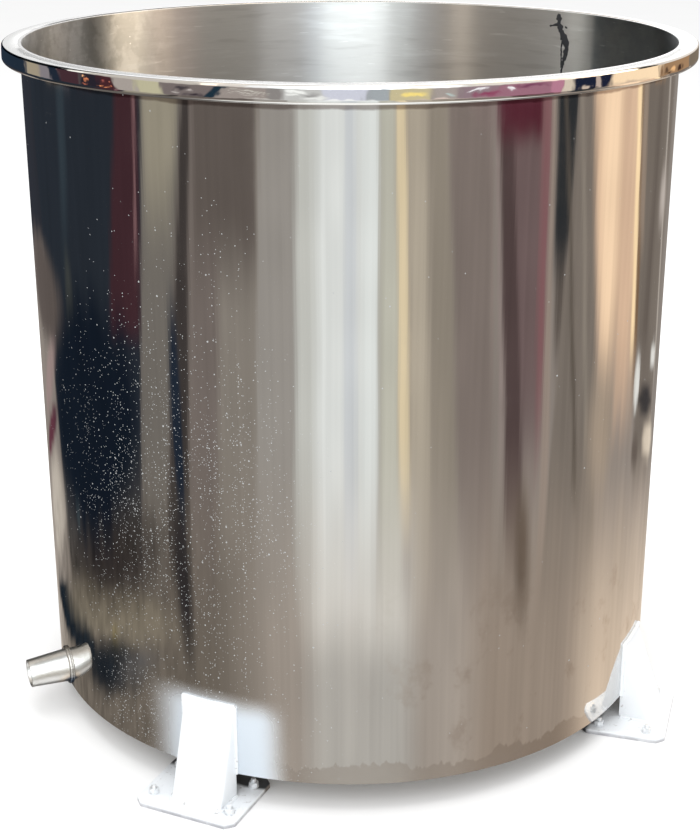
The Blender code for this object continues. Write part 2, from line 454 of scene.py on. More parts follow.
# Painted dark reflection at the right end of the inside, a thin dark tint: where it starts and is full,
# along X
DARK_REFLECTION_SPAN = (0.411, 0.420)
PLATE_DIRT_AND_SHADE = (0.0025, 0.0079)               # heights between which the dirt and painted shade at the feet fade out
PAINTED_SHADOW_WITHIN = 0.475                    # painted shadow: the plates are near black this far from the axis, under the tank


def wall_dust(net):
    """Dots of dust on the wall, in clouds and thinly between them."""
    squat = 0.75                            # the clouds are taller than they are wide
    vector = net.scaled(1.0, 1.0, squat)
    crowd = 0.0
    for (x, y, z), reach, share in DUST_CLOUDS:
        cloud = net.near((x, y, z * squat), reach * 0.2, reach, vector)
        crowd = net.largest(crowd, net.product(cloud, share))
    streaks = net.smooth(net.noise(38.0, 2.0, 0.5, net.scaled(1.0, 1.0, 0.15)), 0.36, 0.60, 0.35, 1.0)
    patches = net.smooth(net.noise(18.0, 2.0), 0.30, 0.55, 0.5, 1.0)
    crowd = net.product(crowd, streaks, patches)
    return net.largest(*(net.specks(scale, size, net.lift(crowd, crowded, thin))
                         for scale, size, crowded, thin in DUST_SIZES))


def mist_and_glow_patches(net):
    """Soft white patches on the wall beside the brackets: paint mist, and painted glow of the bright feet.
    """
    x, y, z = net.split(net.where)
    from_back = net.math("DEGREES", net.math("ARCTAN2", net.product(x, -1.0), y))
    ragged = net.lift(net.noise(9.0, 2.0), 2.0, -1.0)
    side = net.math("ADD", net.math("FLOORED_MODULO", from_back, 360.0), ragged)
    height = net.lift(ragged, 0.006, z)
    result = 0.0
    for *azimuths, top, amount in PAINT_MIST_AND_GLOW:
        start, full, last, end = ((azimuth - 90) % 360 for azimuth in azimuths)
        begun = net.smooth(side, start, full)
        ended = net.smooth(side, last, end, amount, 0.0)
        low = net.smooth(height, top - 0.030, top + 0.020, 1.0, 0.0)
        result = net.math("ADD", result, net.product(begun, ended, low))
    return result


def polished_wall_material():
    """Mirror polished sheet: faint rolling lines, dust, a few pits, stains, heat tint, dirt and painted
    shade under the rim, a painted dark reflection at its foot, and paint mist with painted glow beside the
    brackets.
    """
    net = Net("polished_wall")
    x, _, z = net.split(net.where)
    lines = net.scaled(1.0, 1.0, 0.012)
    fine = net.noise(420.0, 3.0, 0.6, lines)
    wide = net.noise(70.0, 2.0, 0.55, lines)
    blotches = net.smooth(net.noise(9.0, 4.0, 0.6), 0.45, 0.75)
    dust = wall_dust(net)
    pits = net.specks(60.0, 0.0008, 0.012)
    # Painted dark reflection along the foot of the wall, standing in for the tank's shadow on the ground as
    # the mirror shows it; the wall is also rougher there.
    low_reflection_edge = net.lift(net.noise(16.0, 5.0, 0.7, net.scaled(1.0, 1.0, 0.2)), 0.085, 0.034)
    painted_dark_reflection = net.smooth(net.math("SUBTRACT", z, low_reflection_edge), -0.003, 0.002, 1.0, 0.0)
    painted_dark_reflection = net.product(painted_dark_reflection, net.smooth(x, -0.16, -0.04), net.smooth(x, 0.42, 0.30))
    # Heat tint, dirt and painted shade in a band just under the rim.
    under_rim_shade_edge = net.lift(net.noise(30.0, 3.0), 0.007, RIM_BOTTOM - 0.0145)
    under_rim_tint_and_shade = net.smooth(net.math("SUBTRACT", z, under_rim_shade_edge), 0.0, 0.0035)
    stains = net.smooth(net.noise(15.0, 4.0, 0.65, net.scaled(1.0, 1.0, 0.7)), 0.54, 0.70, 0.0, 0.5)
    stains = net.product(stains, net.smooth(z, 0.42, 0.20), net.smooth(x, -0.02, 0.12))
    # Paint mist beside the brackets, which also paints the glow of the bright feet.
    mist_and_glow = mist_and_glow_patches(net)
    tint = net.near(TINT_POINT, 0.008, 0.019)
    steel = net.layers(net.mix(wide, (0.70, 0.685, 0.665), (0.645, 0.63, 0.612)),
                       (net.product(painted_dark_reflection, 0.75), (0.47, 0.43, 0.39)),
                       (stains, (0.46, 0.40, 0.35)),
                       (pits, (0.08, 0.07, 0.06)),
                       (net.product(tint, 0.95), (0.05, 0.08, 0.13)),
                       (net.product(under_rim_tint_and_shade, 0.75), (0.22, 0.175, 0.16)),
                       (dust, (0.40, 0.41, 0.41)),
                       (mist_and_glow, (0.60, 0.67, 0.74)))
    cover = net.largest(dust, mist_and_glow)
    rough = net.lift(fine, 0.04, 0.02)
    for mask, amount in ((blotches, 0.04), (stains, 0.25), (painted_dark_reflection, 0.12), (cover, 0.5)):
        rough = net.lift(mask, amount, rough)
    wave = net.bump(net.noise(5.0, 1.0, 0.4, net.scaled(1.0, 1.0, 0.45)), 0.0011)
    normal = net.bump(net.noise(150.0, 2.0, 0.5, lines), 0.00003, wave)
    return net.finish(net.rest(cover), steel, rough, normal)


def satin_wall_material():
    """Inside of the wall: sheet brushed round the tank, smeared, scratched and splashed, with a painted
    dark reflection at its right end.
    """
    net = Net("satin_wall")
    x = net.split(net.where)[0]
    brushed = net.noise(300.0, 4.0, 0.65, net.scaled(0.05, 0.05, 1.0))
    smears = net.noise(9.0, 3.0, 0.6, net.scaled(0.8, 0.8, 7.0))
    mottle = net.noise(22.0, 4.0, 0.65)
    dull = net.product(net.smooth(mottle, 0.42, 0.60), net.smooth(x, -0.28, -0.42))
    scratches = net.smooth(net.noise(190.0, 1.0, 0.5, net.scaled(0.12, 0.12, 1.0)), 0.70, 0.73)
    scratches = net.product(scratches, net.smooth(smears, 0.48, 0.56), 0.35)
    drops = net.specks(110.0, 0.0011, net.smooth(x, -0.30, -0.46, 0.004, 0.06))
    # Painted dark reflection at the right end of the inside.
    painted_dark_reflection = net.product(net.smooth(x, *DARK_REFLECTION_SPAN), net.smooth(mottle, 0.30, 0.60, 0.55, 0.75))
    steel = net.layers(net.mix(brushed, (0.60, 0.592, 0.58), (0.52, 0.512, 0.50)),
                       (net.smooth(smears, 0.52, 0.70, 0.0, 0.55), (0.68, 0.68, 0.67)),
                       (net.smooth(smears, 0.44, 0.30, 0.0, 0.5), (0.44, 0.43, 0.42)),
                       (net.product(dull, 0.55), (0.32, 0.31, 0.295)),
                       (painted_dark_reflection, (0.19, 0.225, 0.245)),
                       (net.largest(scratches, drops), (0.85, 0.85, 0.85)))
    rough = net.lift(smears, 0.08, net.lift(brushed, 0.08, 0.26))
    normal = net.bump(drops, 0.0004, net.bump(mottle, 0.0002, net.bump(brushed, 0.00002)))
    along = net.add("ShaderNodeTangent", {"direction_type": "RADIAL", "axis": "Z"}).outputs[0]
    return net.finish(1.0, steel, rough, normal, Tangent=along, Anisotropic=1.0, Anisotropic_Rotation=0.25)


def rim_material():
    """Polished square ring: wavy from its rolling, paler where it is ground on top."""
    net = Net("polished_rim")
    on_top = net.smooth(net.split(net.where)[2], TOP - 0.0012, TOP - 0.0002)
    fine = net.noise(350.0, 3.0, 0.6)
    waves = net.noise(17.0, 0.0, 0.5, net.scaled(1.0, 1.0, 0.15))
    dents = net.product(net.noise(55.0, 1.0), net.rest(net.product(on_top, 0.8)))
    steel = net.layers(net.mix(fine, (0.76, 0.75, 0.735), (0.70, 0.69, 0.675)),
                       (net.product(on_top, 0.9), (0.90, 0.90, 0.89)))
    rough = net.lift(on_top, 0.10, net.lift(fine, 0.03, 0.015))
    return net.finish(1.0, steel, rough, net.bump(dents, 0.0002, net.bump(waves, 0.0010)))


def grime_and_shade_material():
    """Dull brown dirt and weld scale in the corner under the rim, dark also as painted shade there."""
    net = Net("corner_grime_and_shade")
    coarse = net.smooth(net.noise(40.0, 4.0, 0.6), 0.4, 0.62)
    fine = net.noise(300.0, 3.0, 0.6)
    dirt_and_shade = net.layers(net.mix(coarse, (0.115, 0.095, 0.09), (0.20, 0.18, 0.17)),
                      (fine, (0.07, 0.055, 0.055)))
    return net.finish(0.2, dirt_and_shade, net.lift(fine, 0.3, 0.5), net.bump(fine, 0.0003))


def satin_floor_material():
    """Floor sheet: satin, ground in rings, with faint dried splashes."""
    net = Net("satin_floor")
    height = net.split(net.where)[2]
    section = net.add("ShaderNodeCombineXYZ", X=net.from_axis(), Y=height, Z=0.0).outputs[0]
    rings = net.noise(420.0, 4.0, 0.6, section)
    stains = net.smooth(net.noise(6.0, 5.0, 0.62), 0.52, 0.66, 0.0, 0.5)
    steel = net.layers(net.mix(rings, (0.50, 0.494, 0.484), (0.43, 0.424, 0.414)),
                       (stains, (0.37, 0.358, 0.34)))
    rough = net.lift(stains, 0.3, net.lift(rings, 0.12, 0.24))
    return net.finish(1.0, steel, rough, net.bump(rings, 0.00005))


def drain_material():
    """Drain stub: satin steel, tinted blue and straw at its weld."""
    net = Net("drain_steel")
    grain = net.noise(260.0, 4.0, 0.6, net.scaled(1.0, 1.0, 1.6))
    smears = net.noise(60.0, 3.0, 0.55)
    straw = net.near(TINT_POINT, 0.010, 0.028)
    blue = net.near(TINT_POINT, 0.008, 0.017)
    steel = net.layers(net.mix(grain, (0.66, 0.655, 0.635), (0.56, 0.55, 0.535)),
                       (net.smooth(smears, 0.5, 0.7, 0.0, 0.35), (0.50, 0.48, 0.45)),
                       (net.product(straw, 0.55), (0.52, 0.36, 0.20)),
                       (net.product(blue, 0.9), (0.045, 0.075, 0.12)))
    normal = net.bump(smears, 0.0004, net.bump(grain, 0.00004))
    return net.finish(1.0, steel, net.lift(grain, 0.12, 0.30), normal)


def weld_material():
    """Bare weld metal with straw and blue tints."""
    net = Net("weld_metal")
    grain = net.noise(380.0, 3.0, 0.6)
    straw = net.smooth(net.noise(45.0, 3.0, 0.6), 0.5, 0.7, 0.0, 0.6)
    blue = net.near(TINT_POINT, 0.010, 0.024)
    steel = net.layers(net.mix(grain, (0.60, 0.585, 0.56), (0.42, 0.40, 0.38)),
                       (straw, (0.34, 0.26, 0.19)),
                       (net.product(blue, 0.85), (0.05, 0.09, 0.15)))
    return net.finish(1.0, steel, net.lift(grain, 0.2, 0.28), net.bump(grain, 0.00015))


def white_paint_material():
    """White enamel: slight orange peel, scuffs, chipped edges, dirt and painted shade low down, and painted
    shadow, near black, under the tank.
    """
    net = Net("white_paint")
    peel = net.noise(420.0, 2.0, 0.5)
    runs = net.noise(30.0, 4.0, 0.6)
    edges = net.smooth(net.add("ShaderNodeNewGeometry").outputs["Pointiness"], 0.52, 0.60)
    chips = net.product(edges, net.smooth(net.noise(130.0, 3.0, 0.65), 0.60, 0.66))
    # Dirt and painted shade low down, on the plates' edge faces.
    low = net.smooth(net.split(net.where)[2], *PLATE_DIRT_AND_SHADE, 1.0, 0.0)
    dirt_and_shade = net.product(low, net.smooth(runs, 0.30, 0.65, 0.45, 0.85))
    scuffs = net.smooth(net.noise(85.0, 5.0, 0.7, net.scaled(1.0, 1.0, 2.5)), 0.66, 0.74, 0.0, 0.3)
    marks = net.specks(60.0, 0.0007, 0.02)
    # Painted shadow: near black on the plates under the tank.
    away = net.lift(net.noise(45.0, 3.0), 0.012, net.math("SUBTRACT", net.from_axis(), 0.006))
    under_tank_shadow = net.smooth(away, PAINTED_SHADOW_WITHIN - 0.006, PAINTED_SHADOW_WITHIN + 0.004, 0.95, 0.0)
    colour = net.layers(net.mix(runs, (0.86, 0.885, 0.91), (0.80, 0.83, 0.86)),
                        (scuffs, (0.74, 0.75, 0.77)),
                        (dirt_and_shade, (0.34, 0.34, 0.37)),
                        (marks, (0.32, 0.30, 0.29)),
                        (net.product(chips, 0.8), (0.30, 0.27, 0.25)),
                        (under_tank_shadow, (0.006, 0.009, 0.014)))
    coat = net.bump(chips, 0.0002, net.bump(peel, 0.00006), strength=0.6)
    return net.finish(0.0, colour, net.lift(runs, 0.2, 0.28), coat)


def zinc_material():
    """Zinc plated fasteners: faintly mottled, with white paint over most of them."""
    net = Net("zinc_plate")
    mottle = net.noise(420.0, 3.0, 0.6)
    hue = net.noise(150.0, 2.0, 0.5)
    painted = net.smooth(net.noise(95.0, 3.0, 0.6), 0.44, 0.54, 1.0, 0.45)
    zinc = net.layers(net.mix(hue, (0.74, 0.74, 0.72), (0.66, 0.68, 0.72)),
                      (net.smooth(mottle, 0.55, 0.75, 0.0, 0.5), (0.46, 0.45, 0.43)),
                      (painted, (0.80, 0.83, 0.86)))
    return net.finish(net.rest(painted), zinc, net.lift(mottle, 0.25, 0.25), net.bump(mottle, 0.00005))


def dried_paint_material():
    """Dark dried run on the inside of the wall."""
    net = Net("dried_run")
    crust = net.noise(240.0, 4.0, 0.65)
    colour = net.mix(crust, (0.008, 0.010, 0.014), (0.030, 0.030, 0.034))
    return net.finish(0.0, colour, net.lift(crust, 0.3, 0.45), net.bump(crust, 0.0003))


# The tank's body

def nozzle_frame():
    """Matrix whose Z runs out along the drain stub, with its origin on the wall."""
    azimuth = math.radians(NOZZLE_AZIMUTH)
    fall = math.radians(NOZZLE_FALL)
    along = around(math.cos(fall), azimuth, -math.sin(fall))
    origin = around(RADIUS, azimuth, NOZZLE_HEIGHT)
    return Matrix.Translation(origin) @ along.to_track_quat("Z", "Y").to_matrix().to_4x4()


def make_wall(polished, satin):
    """Rolled wall with eased edges and the drain's hole."""
    ease = EDGE_EASE
    loop_height = WALL_BOTTOM + 0.066       # keeps the faces around the hole short
    profile = [(INNER_RADIUS, loop_height), (INNER_RADIUS, WALL_BOTTOM + ease),
               (INNER_RADIUS + ease, WALL_BOTTOM), (RADIUS - ease, WALL_BOTTOM),
               (RADIUS, WALL_BOTTOM + ease), (RADIUS, loop_height), (RADIUS, TOP - ease),
               (RADIUS - ease, TOP), (INNER_RADIUS + ease, TOP), (INNER_RADIUS, TOP - ease)]
    index = [1, 1, 0, 0, 0, 0, 0, 0, 1, 1]  # satin within, polished outside and on the edges
    names = [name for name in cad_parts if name.startswith("shell_wall_")]
    wall = add_piece("tank_wall", revolve(profile, index), (polished, satin),
                     names, sharp=60)
    reach = 0.02                            # of the cut to both sides of the sheet
    hole = cylinder(NOZZLE_ROOT_RADIUS - NOZZLE_WALL, -reach, reach, 72, nozzle_frame())
    cut_away(wall, [hole])


def make_rim(material):
    """Square section ring with rounded corners and an outer face that leans and bulges slightly."""
    inner = RADIUS + GAP
    ease = 0.001                            # at the inner corner below
    profile = [(inner, TOP - EDGE_EASE), (inner, RIM_BOTTOM + ease), (inner + ease, RIM_BOTTOM)]
    start = RIM_BOTTOM + RIM_FOOT_ROUND
    end = TOP - RIM_TOP_ROUND
    profile += arc(RIM_RADIUS - RIM_FOOT_ROUND, start, RIM_FOOT_ROUND, -90, 0, 8)
    steps = 8
    back = 0.0
    for k in range(1, steps + 1):
        lean = RIM_LEAN + RIM_BULGE * ((2 * k - 1) / steps - 1)
        back += (end - start) / steps * math.tan(math.radians(lean))
        if k < steps:
            profile.append((RIM_RADIUS - back, start + (end - start) * k / steps))
    profile += arc(RIM_RADIUS - back - RIM_TOP_ROUND, end, RIM_TOP_ROUND, RIM_LEAN + RIM_BULGE, 90, 8)
    profile += [(inner + EDGE_EASE, TOP)]
    add_piece("rim", revolve(profile), (material,), ["rim_ring"], sharp=50)


def make_rim_welds(material, grime_and_shade):
    """Ground weld in the seam on top of the rim, and a thin fillet under it, dark with grime and painted
    shade.
    """
    seam = RADIUS + GAP / 2
    height = 0.00018
    width = 0.0022
    top = [(seam - width, TOP - EDGE_EASE), (seam + width, TOP - EDGE_EASE)]
    top += [(seam + width * (1 - i / 3), TOP + height * math.sin(math.pi * i / 6)) for i in range(7)]
    add_piece("rim_top_weld", revolve(top), (material,), sharp=60)
    leg = 0.0035
    behind = RADIUS - 0.001                 # the fillet reaches a little into wall and rim
    above = RIM_BOTTOM + 0.0008
    fillet = [(behind, RIM_BOTTOM - leg), (behind, above), (RADIUS + leg, above)]
    fillet += arc(RADIUS + leg, RIM_BOTTOM - leg, leg, 90, 180, 6)
    add_piece("rim_under_weld", revolve(fillet), (grime_and_shade,), sharp=60)


def make_floor(material, weld):
    """Flat floor with its fillet weld up the wall."""
    low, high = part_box("floor_plate")
    radius = INNER_RADIUS - GAP
    ease = 0.0004
    inner_rings = (0.02, 0.25)              # keep the faces of the floor from growing long
    levels = [(r, low.z) for r in inner_rings]
    levels += [(radius - ease, low.z), (radius, low.z + ease)]
    levels += [(radius, high.z - ease), (radius - ease, high.z)]
    levels += [(r, high.z) for r in reversed(inner_rings)]
    bm = bmesh.new()
    stack(bm, levels, ROUND_STEPS)
    add_piece("tank_floor", bm, (material,), ["floor_plate"], sharp=50)
    inset = 0.0012                          # the bead's middle, from the corner
    path = [around(INNER_RADIUS - inset, turn, high.z + inset) for turn in turns(720)]
    bm = bmesh.new()
    weld_bead(bm, path, FLOOR_BEAD, 8, closed=True)
    add_piece("floor_weld", bm, (weld,), sharp=60)


def stub_radius(along):
    """Outside radius of the drain stub at a distance along it."""
    return NOZZLE_ROOT_RADIUS - (NOZZLE_ROOT_RADIUS - NOZZLE_END_RADIUS) / NOZZLE_LENGTH * along


def where_stub_meets(matrix, turn, depth):
    """How far along the stub a line at a depth below its surface comes out of the wall."""
    low, high = -0.02, 0.03
    for _ in range(40):
        middle = (low + high) / 2
        point = matrix @ around(stub_radius(middle) - depth, turn, middle)
        if math.hypot(point.x, point.y) < RADIUS + GAP:
            low = middle
        else:
            high = middle
    return low


def make_drain(material, weld):
    """Tapered stub, seated on the wall's curve, with an eased end and a rippled weld."""
    matrix = nozzle_frame()
    steps = 96
    ease = 0.0007
    end = NOZZLE_LENGTH
    outside = stub_radius(end)
    inside = outside - NOZZLE_WALL

    def profile_at(turn):
        root = where_stub_meets(matrix, turn, 0.0)
        bore = where_stub_meets(matrix, turn, NOZZLE_WALL)
        places = [root + (end - ease - root) * k / 6 for k in range(7)]
        profile = [(stub_radius(place), place) for place in places]
        profile += [(outside - ease * 0.3, end - ease * 0.3), (outside - ease, end)]
        profile += [(inside + ease, end), (inside, end - ease)]
        return profile + [(stub_radius(bore) - NOZZLE_WALL, bore)]

    bm = bmesh.new()
    sweep_round(bm, profile_at, steps, matrix)
    add_piece("drain_stub", bm, (material,), ["drain_nozzle"], sharp=50)
    off_stub, off_wall = 0.0010, 0.0012     # the bead's middle
    roots = []
    for turn in turns(steps):
        root = where_stub_meets(matrix, turn, 0.0)
        roots.append(matrix @ around(stub_radius(root) + off_stub, turn, root + off_wall))
    path = smooth_path(roots + roots[:1], 0.0009)[:-1]
    bm = bmesh.new()
    weld_bead(bm, path, DRAIN_BEAD, 10, closed=True)
    add_piece("drain_weld", bm, (weld,), sharp=70)


# The dried run's strands: azimuth, height and half width at points down each
RUN_STRANDS = (
    ((42.9, 1.0575, 0.0030), (43.0, 1.0535, 0.0062), (42.9, 1.0490, 0.0072), (42.8, 1.0450, 0.0042),
     (42.8, 1.0410, 0.0048), (42.6, 1.0360, 0.0066), (42.3, 1.0300, 0.0060), (41.9, 1.0240, 0.0068),
     (41.4, 1.0180, 0.0082), (40.9, 1.0120, 0.0086), (40.6, 1.0060, 0.0070), (40.7, 1.0000, 0.0048),
     (41.0, 0.9920, 0.0038), (41.2, 0.9820, 0.0040), (41.4, 0.9720, 0.0028), (41.7, 0.9600, 0.0022),
     (41.9, 0.9500, 0.0010)),
    ((41.8, 1.0120, 0.0022), (42.0, 1.0020, 0.0016), (41.9, 0.9900, 0.0020), (41.9, 0.9780, 0.0014),
     (41.8, 0.9660, 0.0018)),
    ((40.5, 1.0060, 0.0030), (40.3, 0.9970, 0.0022), (40.5, 0.9880, 0.0020), (40.8, 0.9790, 0.0010)),
    ((42.9, 1.0395, 0.0040), (43.7, 1.0380, 0.0024), (44.5, 1.0365, 0.0016), (45.0, 1.0360, 0.0022),
     (45.2, 1.0355, 0.0008)),
    ((41.2, 1.0365, 0.0014), (40.9, 1.0355, 0.0018), (40.6, 1.0345, 0.0008)),
)
# Across a strand: side, in half widths, and how far it stands off the wall
RUN_SECTION = ((-1, -0.0002), (-0.7, 0.0005), (0, 0.0008), (0.7, 0.0005), (1, -0.0002))


def finer(strand):
    """A strand's points with others between them."""
    result = []
    for start, end in zip(strand, strand[1:]):
        parts = max(2, round(abs(end[1] - start[1]) / 0.0012))
        result += [[a + (b - a) * i / parts for a, b in zip(start, end)] for i in range(parts)]
    return result + [strand[-1]]


def make_paint_run(material):
    """Dried run down the inside of the wall, on the right of the back."""
    bm = bmesh.new()
    for number, strand in enumerate(RUN_STRANDS):
        points = finer(strand)
        steps = np.arange(len(points)) * 0.45
        left = value_noise(steps, np.full_like(steps, number), 31)
        right = value_noise(steps, np.full_like(steps, number), 32)
        rows = []
        for i, (azimuth, z, width) in enumerate(points):
            ahead = points[min(i + 1, len(points) - 1)]
            behind = points[max(i - 1, 0)]
            sideways = math.radians(ahead[0] - behind[0]) * INNER_RADIUS
            along = Vector((sideways, ahead[1] - behind[1])).normalized()
            row = []
            for across, lift in RUN_SECTION:
                uneven = left[i] if across < 0 else right[i]
                reach = across * width * (1 + 0.35 * uneven)
                turn = math.radians(azimuth) - reach * along.y / INNER_RADIUS
                row.append(bm.verts.new(around(INNER_RADIUS - lift, turn, z + reach * along.x)))
            rows.append(row)
        skin_and_close(bm, rows)
    add_piece("dried_run", bm, (material,), sharp=80)


# The feet

def plate_frame(azimuth, shift, turn):
    return spin(azimuth) @ Matrix.Translation((PLATE_RADIUS, shift, 0)) @ spin(turn)


def leg_top(name):
    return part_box("leg_bracket_" + name)[1].z


def wall_at(y):
    """How far out the wall's face stands at a distance aside of a foot's middle."""
    return math.sqrt((RADIUS + GAP) ** 2 - y * y)


def fold_outline(face, half, radius):
    """Plan of one side of the folded sheet: cheek, fold, face, fold, cheek."""
    start = wall_at(half)
    corner = max(0.0004, min(radius, face - start - 0.0004))
    run = face - corner - start
    side = [(start + run * k / 3, -half) for k in range(3)]
    side += arc(face - corner, corner - half, corner, -90, 0, 6)
    flat = half - corner
    middle = [(face, -flat + 2 * flat * k / 12) for k in range(1, 12)]
    return [(max(x, wall_at(y)), y) for x, y in side + middle + mirrored(side)]


def make_bracket(name, azimuth, coat):
    """Folded bracket: sloping face and two cheeks, seated on the wall's curve."""
    top = leg_top(name)
    slope = (LEG_FOOT_RADIUS - LEG_TOP_RADIUS) / (top - LEG_BOTTOM)
    matrix = spin(azimuth)
    bm = bmesh.new()
    rings = []
    rows = 16
    for i in range(rows + 1):
        z = LEG_BOTTOM + (top - LEG_BOTTOM) * i / rows
        face = LEG_TOP_RADIUS + slope * (top - z)
        behind = face - LEG_SHEET * math.hypot(1, slope)
        outer = fold_outline(face, LEG_HALF, LEG_FOLD_RADIUS)
        inner = fold_outline(behind, LEG_HALF - LEG_SHEET, LEG_FOLD_RADIUS - LEG_SHEET)
        rings.append([bm.verts.new(matrix @ Vector((x, y, z))) for x, y in outer + inner[::-1]])
    skin_and_close(bm, rings)
    add_piece("bracket_" + name, bm, (coat,), ["leg_bracket_" + name], sharp=40)


def make_bracket_welds(name, azimuth, coat):
    """Painted beads up both cheeks and over the top, and along the plate."""
    top = leg_top(name)
    off = 0.0010                            # how far a bead's middle stands off what it joins
    side = LEG_HALF + 0.0008
    heights = [WALL_BOTTOM + (top - WALL_BOTTOM) * k / 20 for k in range(21)]
    up = [(wall_at(side) + off, -side, z) for z in heights]
    aside = [-LEG_HALF + 2 * LEG_HALF * k / 12 for k in range(13)]
    over = [(wall_at(y) + 0.0016, y, top + 0.0006) for y in aside]
    cheek = LEG_HALF + off
    face = LEG_FOOT_RADIUS + off
    fold = LEG_FOLD_RADIUS
    cut = fold * 0.3                        # where the bead crosses the fold
    foot = [(wall_at(LEG_HALF) + 2 * off, -cheek, LEG_BOTTOM), (face - fold, -cheek, LEG_BOTTOM),
            (face - cut, cut - cheek, LEG_BOTTOM), (face, fold - cheek, LEG_BOTTOM)]
    matrix = spin(azimuth)
    bm = bmesh.new()
    for points, bead in ((up + over + mirrored(up), CHEEK_BEAD), (foot + mirrored(foot), FOOT_BEAD)):
        path = smooth_path([matrix @ Vector(point) for point in points], 0.0015)
        weld_bead(bm, path, bead, 8)
    add_piece("bracket_welds_" + name, bm, (coat,), sharp=80)


def plate_outline():
    """Square plate with cut corners."""
    half_x = PLATE_LENGTH / 2
    half_y = PLATE_WIDTH / 2
    cut = PLATE_CHAMFER
    points = []
    for sx, sy in ((1, 1), (-1, 1), (-1, -1), (1, -1)):
        corner = [(sx * half_x, sy * (half_y - cut)), (sx * (half_x - cut), sy * half_y)]
        points += corner if sx * sy > 0 else corner[::-1]
    return points


def make_plate(name, azimuth, shift, turn, coat):
    """Base plate with eased edges and its bolt holes."""
    bm = bmesh.new()
    skin_and_close(bm, [[bm.verts.new((*xy, z)) for xy in plate_outline()] for z in (0.0, PLATE_THICKNESS)])
    bmesh.ops.recalc_face_normals(bm, faces=bm.faces)
    bmesh.ops.bevel(bm, geom=list(bm.edges), offset=0.0009, segments=3, profile=0.5, affect="EDGES")
    matrix = plate_frame(azimuth, shift, turn)
    bm.transform(matrix)
    plate = add_piece("plate_" + name, bm, (coat,), ["base_plate_" + name], sharp=35)
    holes = []
    for x, y in BOLT_OFFSETS:
        holes.append(cylinder(BOLT_HOLE_RADIUS, -0.01, 0.02, 32, matrix @ Matrix.Translation((x, y, 0))))
    cut_away(plate, holes)


def add_nut(bm, matrix, low):
    """Hexagon nut, chamfered above and below, around the stud."""
    flat = NUT_ACROSS_FLATS / 2
    chamfer = flat * 0.97                   # where the flat end of the nut stops
    slant = math.tan(math.radians(30))
    high = low + NUT_HEIGHT

    def profile_at(turn):
        from_flat = (turn + math.pi / 6) % (math.pi / 3) - math.pi / 6
        corner = flat / math.cos(from_flat)
        drop = (corner - chamfer) * slant
        return ((BOLT_RADIUS, low), (chamfer, low), (corner, low + drop), (corner, high - drop),
                (chamfer, high), (BOLT_RADIUS + 0.0006, high), (BOLT_RADIUS - 0.0002, high - 0.0008))

    sweep_round(bm, profile_at, 48, matrix)


def add_washer(bm, matrix, low):
    ease = 0.0003
    high = low + WASHER_THICKNESS
    inner = BOLT_RADIUS + 0.0002
    profile = ((inner, low), (WASHER_RADIUS - ease, low), (WASHER_RADIUS, low + ease),
               (WASHER_RADIUS, high - ease), (WASHER_RADIUS - ease, high), (inner, high))
    sweep_round(bm, lambda turn: profile, 48, matrix)


def add_stud(bm, matrix, nut_top):
    """Threaded stud: a plain shank below the nut and a helical thread above it."""
    steps = 24
    rows = 4                                # rings for each turn of the thread
    depth = THREAD_PITCH * 0.61
    count = int((BOLT_TOP - nut_top) / THREAD_PITCH * rows) + 3
    levels = [GAP, PLATE_THICKNESS] + [nut_top - 0.001 + k * THREAD_PITCH / rows for k in range(count)]
    rings = []
    for z in levels:
        near_top = max(0.0, 1 - (BOLT_TOP - z) / 0.0008)
        ring = []
        for i, turn in enumerate(turns(steps)):
            phase = (z / THREAD_PITCH - i / steps) % 1.0
            groove = abs(2 * phase - 1) if z > nut_top - 0.002 else 0.0
            r = BOLT_RADIUS - 0.0001 - depth * groove * (1 - near_top) - 0.0007 * near_top
            ring.append(bm.verts.new(matrix @ around(r, turn, min(z, BOLT_TOP))))
        rings.append(ring)
    skin_and_close(bm, rings)


def make_bolts(name, azimuth, shift, turn, zinc):
    nut_low = LEG_BOTTOM + WASHER_THICKNESS
    plate = plate_frame(azimuth, shift, turn)
    for number, (x, y) in enumerate(BOLT_OFFSETS, start=1):
        matrix = plate @ Matrix.Translation((x, y, 0)) @ spin(17.0 * number + azimuth)
        bm = bmesh.new()
        add_washer(bm, matrix, LEG_BOTTOM)
        add_nut(bm, matrix, nut_low)
        add_stud(bm, matrix, nut_low + NUT_HEIGHT)
        add_piece("bolt_%s_%d" % (name, number), bm, (zinc,),
                  ["stud_%s_%d" % (name, number)], sharp=35)


# The studio: what the polished steel reflects, the floor, the lights and the camera

